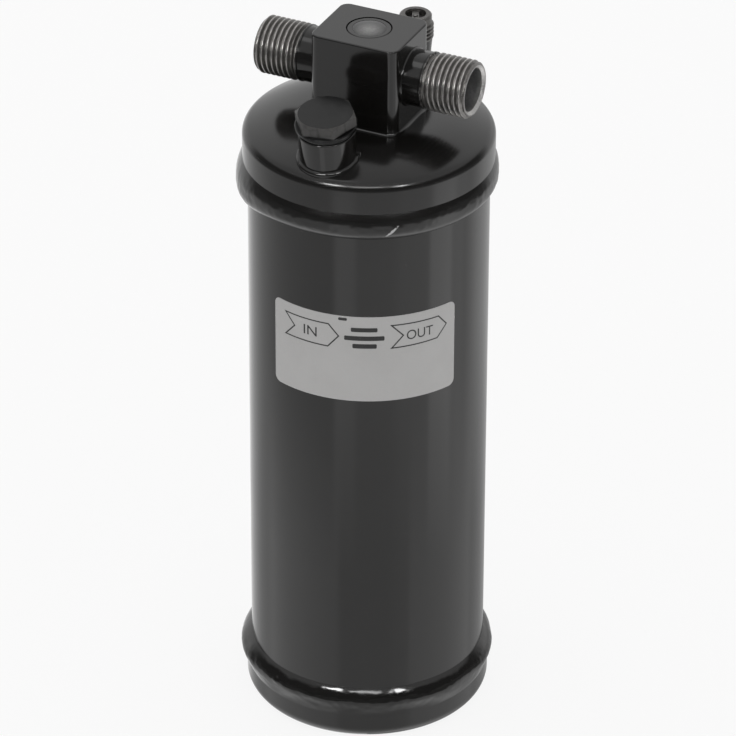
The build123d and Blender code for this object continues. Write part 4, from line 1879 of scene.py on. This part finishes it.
@dataclass
class FlowLabel:
    """The printed sheet on the shell, with its two arrows and plain bars."""

    radius: float = 38.1
    thickness: float = 0.12
    middle: float = 23.05
    width: float = 62.7
    corner: float = 2.2
    line: float = 0.42
    ink: float = 0.025
    strip: float = 0.9
    letter_height: float = 3.35
    in_arrow: tuple[Point, ...] = (
        (4.3, 27.2),
        (20.4, 27.2),
        (23.9, 23.1),
        (20.2, 18.7),
        (4.3, 18.8),
        (8.1, 23.1),
    )
    out_arrow: tuple[Point, ...] = (
        (39.7, 27.4),
        (56.2, 27.3),
        (59.5, 23.4),
        (55.8, 19.2),
        (39.8, 18.8),
        (43.7, 23.2),
    )
    words: tuple[tuple[str, float, float, float], ...] = (("IN", 14.1, 23.1, 4.6), ("OUT", 49.6, 23.0, 9.0))
    bars: tuple[tuple[float, float, float, float], ...] = (
        (27.5, 35.8, 25.1, 26.6),
        (25.4, 38.0, 22.0, 23.6),
        (28.0, 35.6, 19.2, 20.8),
    )
    dab: tuple[float, float, float, float] = (23.5, 26.3, 28.9, 29.9)
    bar_corner: float = 0.4
    dab_corner: float = 0.45

    def __post_init__(self) -> None:
        """Takes the height from the frame."""
        low, high = corners("label")
        self.base, self.height = low.z, high.z - low.z

    def wrap(self, obj: Piece, lift: float, thickness: float) -> None:
        """Cuts a flat shape into strips, thickens it and bends it round the shell.

        Args:
            obj: A flat shape in X and Y, measured in millimetres from the label's lower left corner.
            lift: Height of its back over the shell.
            thickness: Its thickness.
        """
        edit(obj)
        count = int(self.width / self.strip)
        for i in range(1, count):
            bpy.ops.mesh.select_all(action="SELECT")
            across = self.width * i / count * MM
            bpy.ops.mesh.bisect(plane_co=(across, 0, 0), plane_no=(1, 0, 0))
        leave()
        apply_modifier(obj, "SOLIDIFY", thickness=thickness * MM, offset=1.0)

        def bent(at: Vector) -> Vector:
            """Carries a place on the flat label to the shell.

            Args:
                at: The place on the flat label.

            Returns:
                Its place round the shell.
            """
            azimuth = math.radians(self.middle) + (at.x - self.width / 2) / self.radius
            out = self.radius + lift + at.z
            return Vector((out * math.sin(azimuth), -out * math.cos(azimuth), self.base + at.y))

        reshape(obj, bent)
        tidy_faces(obj)
        smooth(obj, 30)

    def sheet(self) -> Piece:
        """The bare sheet with its round corners.

        Returns:
            The sheet.
        """
        label = self.bar("label_sheet", (0.0, self.width, 0.0, self.height), self.corner)
        self.wrap(label, 0.0, self.thickness)
        return hand_over(label, LabelStock(), "label")

    def bar(self, name: str, edges: tuple[float, float, float, float], corner: float) -> Piece:
        """A flat bar with round corners.

        Args:
            name: Name of the bar.
            edges: Its left, right, lower and upper edges, from the label's lower left corner.
            corner: Radius of its corners.

        Returns:
            The flat bar.
        """
        left, right, low, high = edges
        deselect()
        middle = ((left + right) / 2 * MM, (low + high) / 2 * MM, 0)
        bpy.ops.mesh.primitive_plane_add(size=1, location=middle)
        obj = started(name)
        obj.scale = ((right - left) * MM, (high - low) * MM, 1)
        settle(obj)
        edit(obj)
        bpy.ops.mesh.bevel(offset=corner * MM, segments=7, affect="VERTICES")
        leave()
        return obj

    def arrow(self, name: str, outline: Sequence[Point]) -> Piece:
        """An outlined arrow: a six-cornered face, inset by the line's width and opened.

        Args:
            name: Name of the arrow.
            outline: Its corners, from the label's lower left corner.

        Returns:
            The flat arrow.
        """
        deselect()
        bpy.ops.mesh.primitive_circle_add(vertices=6, radius=MM, fill_type="NGON")
        obj = started(name)
        for vertex, (x, y) in zip(obj.data.vertices, reversed(outline)):
            vertex.co = (x * MM, y * MM, 0)
        edit(obj)
        bpy.ops.mesh.normals_make_consistent(inside=False)
        bpy.ops.mesh.inset(thickness=self.line * MM, use_even_offset=True)
        bpy.ops.mesh.delete(type="FACE")
        leave()
        return obj

    def word(self, text: str, x: float, y: float, width: float) -> Piece:
        """A word in plain upright letters, made a mesh.

        Args:
            text: The word.
            x: Place of its middle along the label.
            y: Height of its middle on the label.
            width: Its width.

        Returns:
            The flat word.
        """
        deselect()
        bpy.ops.object.text_add()
        obj = bpy.context.object
        obj.data.body = text
        obj.data.size = self.letter_height * MM
        bpy.ops.object.convert(target="MESH")
        obj = started(f"print_{text.lower()}")
        xs = [v.co.x / MM for v in obj.data.vertices]
        ys = [v.co.y / MM for v in obj.data.vertices]
        stretch = (width / (max(xs) - min(xs)), self.letter_height / (max(ys) - min(ys)))
        centre = ((max(xs) + min(xs)) / 2, (max(ys) + min(ys)) / 2)
        wide, high = stretch
        reshape(obj, lambda at: Vector((x + (at.x - centre[0]) * wide, y + (at.y - centre[1]) * high, 0)))
        tidy_faces(obj)
        return obj

    def build(self) -> None:
        """Builds the sheet and its print."""
        self.sheet()
        arrows = (("print_in_arrow", self.in_arrow), ("print_out_arrow", self.out_arrow))
        prints = [self.arrow(*arrow) for arrow in arrows]
        prints += [self.word(*word) for word in self.words]
        prints += [self.bar(f"print_bar_{i}", edges, self.bar_corner) for i, edges in enumerate(self.bars)]
        prints.append(self.bar("print_paint_dab", self.dab, self.dab_corner))
        for piece in prints:
            self.wrap(piece, self.thickness, self.ink)
            hand_over(piece, PRINT)


@dataclass
class CarriedOver:
    """The CAD pieces that show as they are: seals, valve parts and all that is inside."""

    finishes: dict[str, object] = field(
        default_factory=lambda: {
            "sight_glass_seal": RUBBER,
            "valve_core": DULL,
            "valve_core_seal": RUBBER,
            "valve_pin": DULL,
            "valve_pin_seal": RUBBER,
            "valve_spring": SPRING,
            "pickup_tube": STEEL,
            "pickup_strainer": BRASS,
            "lower_screen": STEEL,
            "lower_pad": FELT,
            "drying_bed": BEADS,
            "upper_pad": FELT,
            "upper_screen": STEEL,
            "hold_down_spring": SPRING,
        }
    )

    def build(self) -> None:
        """Gives each kept node its finish."""
        for name, finish in self.finishes.items():
            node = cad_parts[name]
            node.data.materials.clear()
            node.data.materials.append(material_of(finish))
            LOG.info("%s: kept, %s", name, finish.name)


@dataclass(frozen=True)
class Surroundings:
    """What shiny surfaces mirror: paper below and behind, a dark room low down in front, and lamps over it.

    The paper's brightness near the object and far from it is given by azimuth in degrees, 0 at the camera
    and 90 at its right. A lamp has a left and a right end, as shares of the way to the side, a height over
    the horizon and a half height in degrees, and a strength.
    """

    azimuth: float
    paper_near: tuple[Point, ...] = (
        (-180, 1.15),
        (-141, 0.85),
        (-129, 0.77),
        (-118, 0.86),
        (-107, 1.17),
        (-68, 1.2),
        (-38, 1.1),
        (-31, 1.08),
        (-26, 0.88),
        (20, 0.88),
        (30, 0.93),
        (40, 0.96),
        (43, 1.17),
        (70, 1.17),
        (97, 1.08),
        (116, 0.93),
        (124, 0.68),
        (145, 0.55),
        (180, 0.5),
    )
    paper_far: tuple[Point, ...] = (
        (-180, 1.3),
        (-141, 0.95),
        (-121, 0.84),
        (-88, 0.8),
        (-50, 0.82),
        (-35, 0.84),
        (-30, 1.3),
        (-14, 1.28),
        (-10, 1.0),
        (22, 1.04),
        (33, 1.18),
        (59, 1.16),
        (62, 1.78),
        (84, 1.72),
        (88, 1.25),
        (98, 1.1),
        (105, 0.86),
        (125, 1.0),
        (150, 0.74),
        (180, 0.5),
    )
    near: float = 0.13
    far: float = 0.26
    below: float = 1.5
    sky_front: float = 0.8
    room_low: float = -21.0
    room_high: float = 25.0
    room_depth: float = 0.86
    room_side: float = -0.62
    room_fade: float = 0.25
    room_soft: float = 7.0
    lamp_soft: float = 2.0
    lamp_fade: float = 0.03
    lamps: tuple[tuple[float, float, float, float, float], ...] = (
        (-0.58, -0.37, 34.0, 4.0, 34.0),
        (-0.25, 0.2, 31.5, 3.0, 10.0),
        (0.37, 0.5, 31.0, 4.0, 30.0),
    )

    def level(self, graph: Graph, direction: bpy.types.NodeSocket) -> bpy.types.NodeSocket:
        """Brightness seen in a direction.

        Args:
            graph: Where the nodes go.
            direction: The direction that is looked in.

        Returns:
            The brightness, 1 for white.
        """
        inputs = {"Vector": direction, "Rotation": (0, 0, -math.radians(self.azimuth))}
        turned_way = graph.put("Mapping", inputs).outputs["Vector"]
        ways = graph.put("SeparateXYZ", {0: turned_way}).outputs
        aside, up = ways["X"], ways["Z"]
        ahead = graph.sum("MULTIPLY", ways["Y"], -1.0)
        degrees = 180 / math.pi
        round_about = graph.sum("MULTIPLY", graph.sum("ARCTAN2", aside, ahead), degrees)
        rise = graph.sum("MULTIPLY", graph.sum("ARCTAN2", up, ahead), degrees)
        near = graph.ramp(round_about, self.paper_near, -180, 180)
        far = graph.ramp(round_about, self.paper_far, -180, 180)
        where = graph.put("NewGeometry", {}).outputs["Position"]
        flat = graph.put("VectorMath", {0: where, 1: (1, 1, 0)}, operation="MULTIPLY").outputs["Vector"]
        distance = graph.put("VectorMath", {0: flat}, operation="LENGTH").outputs["Value"]
        paper = graph.put("Mix", {0: graph.span(distance, self.near, self.far, 0.0, 1.0), 2: near, 3: far})
        paper = graph.sum("MULTIPLY", paper.outputs[0], graph.span(up, -0.95, -0.7, self.below, 1.0))
        sky = graph.span(ahead, -0.6, -0.2, 1.0, self.sky_front)
        open_air = graph.put("Mix", {0: graph.span(up, -0.01, 0.01, 0.0, 1.0), 2: paper, 3: sky})
        elevation = graph.sum("MULTIPLY", graph.sum("ARCSINE", up, 0.0), degrees)
        room = graph.window(elevation, self.room_low, self.room_high, self.room_soft)
        in_front = graph.span(ahead, self.room_side, self.room_side + self.room_fade, 0.0, 1.0)
        room = graph.sum("MULTIPLY", room, in_front)
        shade = graph.span(room, 0.0, 1.0, 1.0, 1.0 - self.room_depth)
        total = graph.sum("MULTIPLY", open_air.outputs[0], shade)
        for left, right, height, half, strength in self.lamps:
            across = graph.window(aside, left, right, self.lamp_fade)
            upright = graph.window(rise, height - half, height + half, self.lamp_soft)
            patch = graph.sum("MULTIPLY", across, upright)
            total = graph.sum("ADD", total, graph.sum("MULTIPLY", patch, strength))
        return total


@dataclass
class Studio:
    """The floor, the surroundings, a soft lamp and the camera."""

    azimuth: float = 25.466
    elevation: float = 31.055
    roll: float = 0.1776
    distance: float = 1678.604
    aim_height: float = 117.294
    aside: float = -0.0672
    lens: float = 256.27
    sensor: float = 36.0
    ambient: float = 0.72
    floor_size: float = 12.0
    floor_colour: float = 0.86
    floor_glow: float = 0.88
    panel_height: float = 1.5
    panels: tuple[tuple[float, float, float, float], ...] = ((-0.3, 0.5, 0.5, 1.2),)

    def __post_init__(self) -> None:
        """Sets what shiny surfaces mirror."""
        self.surroundings = Surroundings(self.azimuth)

    def seen_white(
        self, graph: Graph, direction: bpy.types.NodeSocket
    ) -> tuple[bpy.types.NodeSocket, bpy.types.NodeSocket]:
        """The share of rays that see the white, and its strength for them.

        Args:
            graph: Where the nodes go.
            direction: The direction that a ray looks in.

        Returns:
            1 for rays from the camera, in a mirror or through glass, else 0, and the strength.
        """
        path = graph.put("LightPath", {}).outputs
        direct = graph.sum("MAXIMUM", path["Is Camera Ray"], path["Is Transmission Ray"])
        glossy = path["Is Glossy Ray"]
        mirrored = self.surroundings.level(graph, direction)
        strength = graph.put("Mix", {0: glossy, 2: 1.0, 3: mirrored}).outputs[0]
        return graph.sum("MAXIMUM", direct, glossy), strength

    def build_world(self) -> None:
        """White surroundings, a little dimmer as a lamp than they look."""
        world = bpy.data.worlds.new("studio")
        bpy.context.scene.world = world
        world.use_nodes = True
        graph = Graph(world.node_tree)
        seen, strength = self.seen_white(graph, graph.put("TexCoord", {}).outputs["Generated"])
        level = graph.put("Mix", {0: seen, 2: self.ambient, 3: strength}).outputs[0]
        graph.tree.links.new(level, graph.nodes["Background"].inputs["Strength"])
        graph.nodes["Background"].inputs["Color"].default_value = (1, 1, 1, 1)

    def build_floor(self) -> None:
        """A pale floor that looks white and keeps the shadow."""
        deselect()
        bpy.ops.mesh.primitive_plane_add(size=self.floor_size)
        floor = started("studio_floor")
        surface = Surface("pale_floor")
        tones = grey(self.floor_colour), grey(self.floor_colour * 1.02)
        surface.drive("Base Color", surface.blend(surface.cloud(400.0, 1.0), *tones))
        surface.fix(Roughness=0.9)
        back = surface.put("NewGeometry", {}).outputs["Incoming"]
        onward = surface.put("VectorMath", {0: back, "Scale": -1.0}, operation="SCALE").outputs["Vector"]
        seen, strength = self.seen_white(surface, onward)
        glow = surface.put("Emission", {"Strength": strength})
        share = surface.sum("MULTIPLY", seen, self.floor_glow)
        mix = surface.put("MixShader", {0: share, 1: surface.shader.outputs[0], 2: glow.outputs[0]})
        surface.tree.links.new(mix.outputs[0], surface.nodes["Material Output"].inputs["Surface"])
        floor.data.materials.append(surface.material)

    def build_lights(self) -> None:
        """The soft panels overhead, in line with the camera."""
        turn = math.radians(self.azimuth)
        for i, (aside, width, depth, radiance) in enumerate(self.panels):
            deselect()
            x = aside * self.panel_height
            at = (x * math.cos(turn), x * math.sin(turn), self.panel_height)
            bpy.ops.object.light_add(type="AREA", location=at, rotation=(0, 0, turn))
            lamp = bpy.context.object
            lamp.name = f"studio_panel_{i}"
            lamp.data.shape = "RECTANGLE"
            lamp.data.size = width
            lamp.data.size_y = depth
            lamp.data.energy = radiance * math.pi * width * depth

    def build_camera(self) -> None:
        """The camera at the photograph's place."""
        rise, turn, roll = (math.radians(a) for a in (self.elevation, self.azimuth, self.roll))
        unturn = Matrix.Rotation(turn, 3, "Z")
        ahead = Vector((0, math.cos(rise), -math.sin(rise)))
        right = Vector((1, 0, 0))
        up = right.cross(ahead)
        level_right = math.cos(roll) * right + math.sin(roll) * up
        level_up = -math.sin(roll) * right + math.cos(roll) * up
        height = self.aim_height + self.distance * math.sin(rise)
        spot = Vector((self.aside, -self.distance * math.cos(rise), height))
        pose = Matrix((unturn @ level_right, unturn @ level_up, unturn @ -ahead)).transposed().to_4x4()
        pose.translation = unturn @ spot * MM
        data = bpy.data.cameras.new("photo_camera")
        data.lens = self.lens
        data.sensor_width = self.sensor
        data.sensor_fit = "HORIZONTAL"
        data.clip_end = 100
        camera = bpy.data.objects.new("photo_camera", data)
        bpy.context.scene.collection.objects.link(camera)
        camera.matrix_world = pose
        bpy.context.scene.camera = camera

    def build(self) -> None:
        """Sets up the whole studio."""
        self.build_world()
        self.build_floor()
        self.build_lights()
        self.build_camera()
        bpy.context.scene.view_settings.view_transform = "Standard"


def main() -> None:
    """Builds the object piece by piece, then the studio round it."""
    logging.basicConfig(level=logging.INFO, format="%(message)s")
    can = Can()
    can.build()
    WeldBead(
        "top_bead",
        "top_weld_bead",
        can.radius,
        can.cap_radius,
        2.75,
        seed=1.0,
        power=2.6,
        heavy_swell=0.9,
        heavy_sag=5.5,
        lump_height=0.13,
        finish=TOP_BEAD_PAINT,
    ).build()
    WeldBead(
        "bottom_bead",
        "bottom_weld_bead",
        can.cap_radius,
        can.radius,
        3.1,
        seed=8.0,
        power=1.7,
        heavy_swell=0.5,
        light_drop=0.9,
        blister=(-22.0, 15.3, 1.3, 0.4),
    ).build()
    FlowLabel().build()
    block = HeadBlock()
    block.build()
    for way in Way:
        Fitting(way, block).build()
    SightGlass().build()
    PluggedPort(can).build()
    ChargeValve(can).build()
    CarriedOver().build()
    Studio().build()


if __name__ == "__main__":
    main()
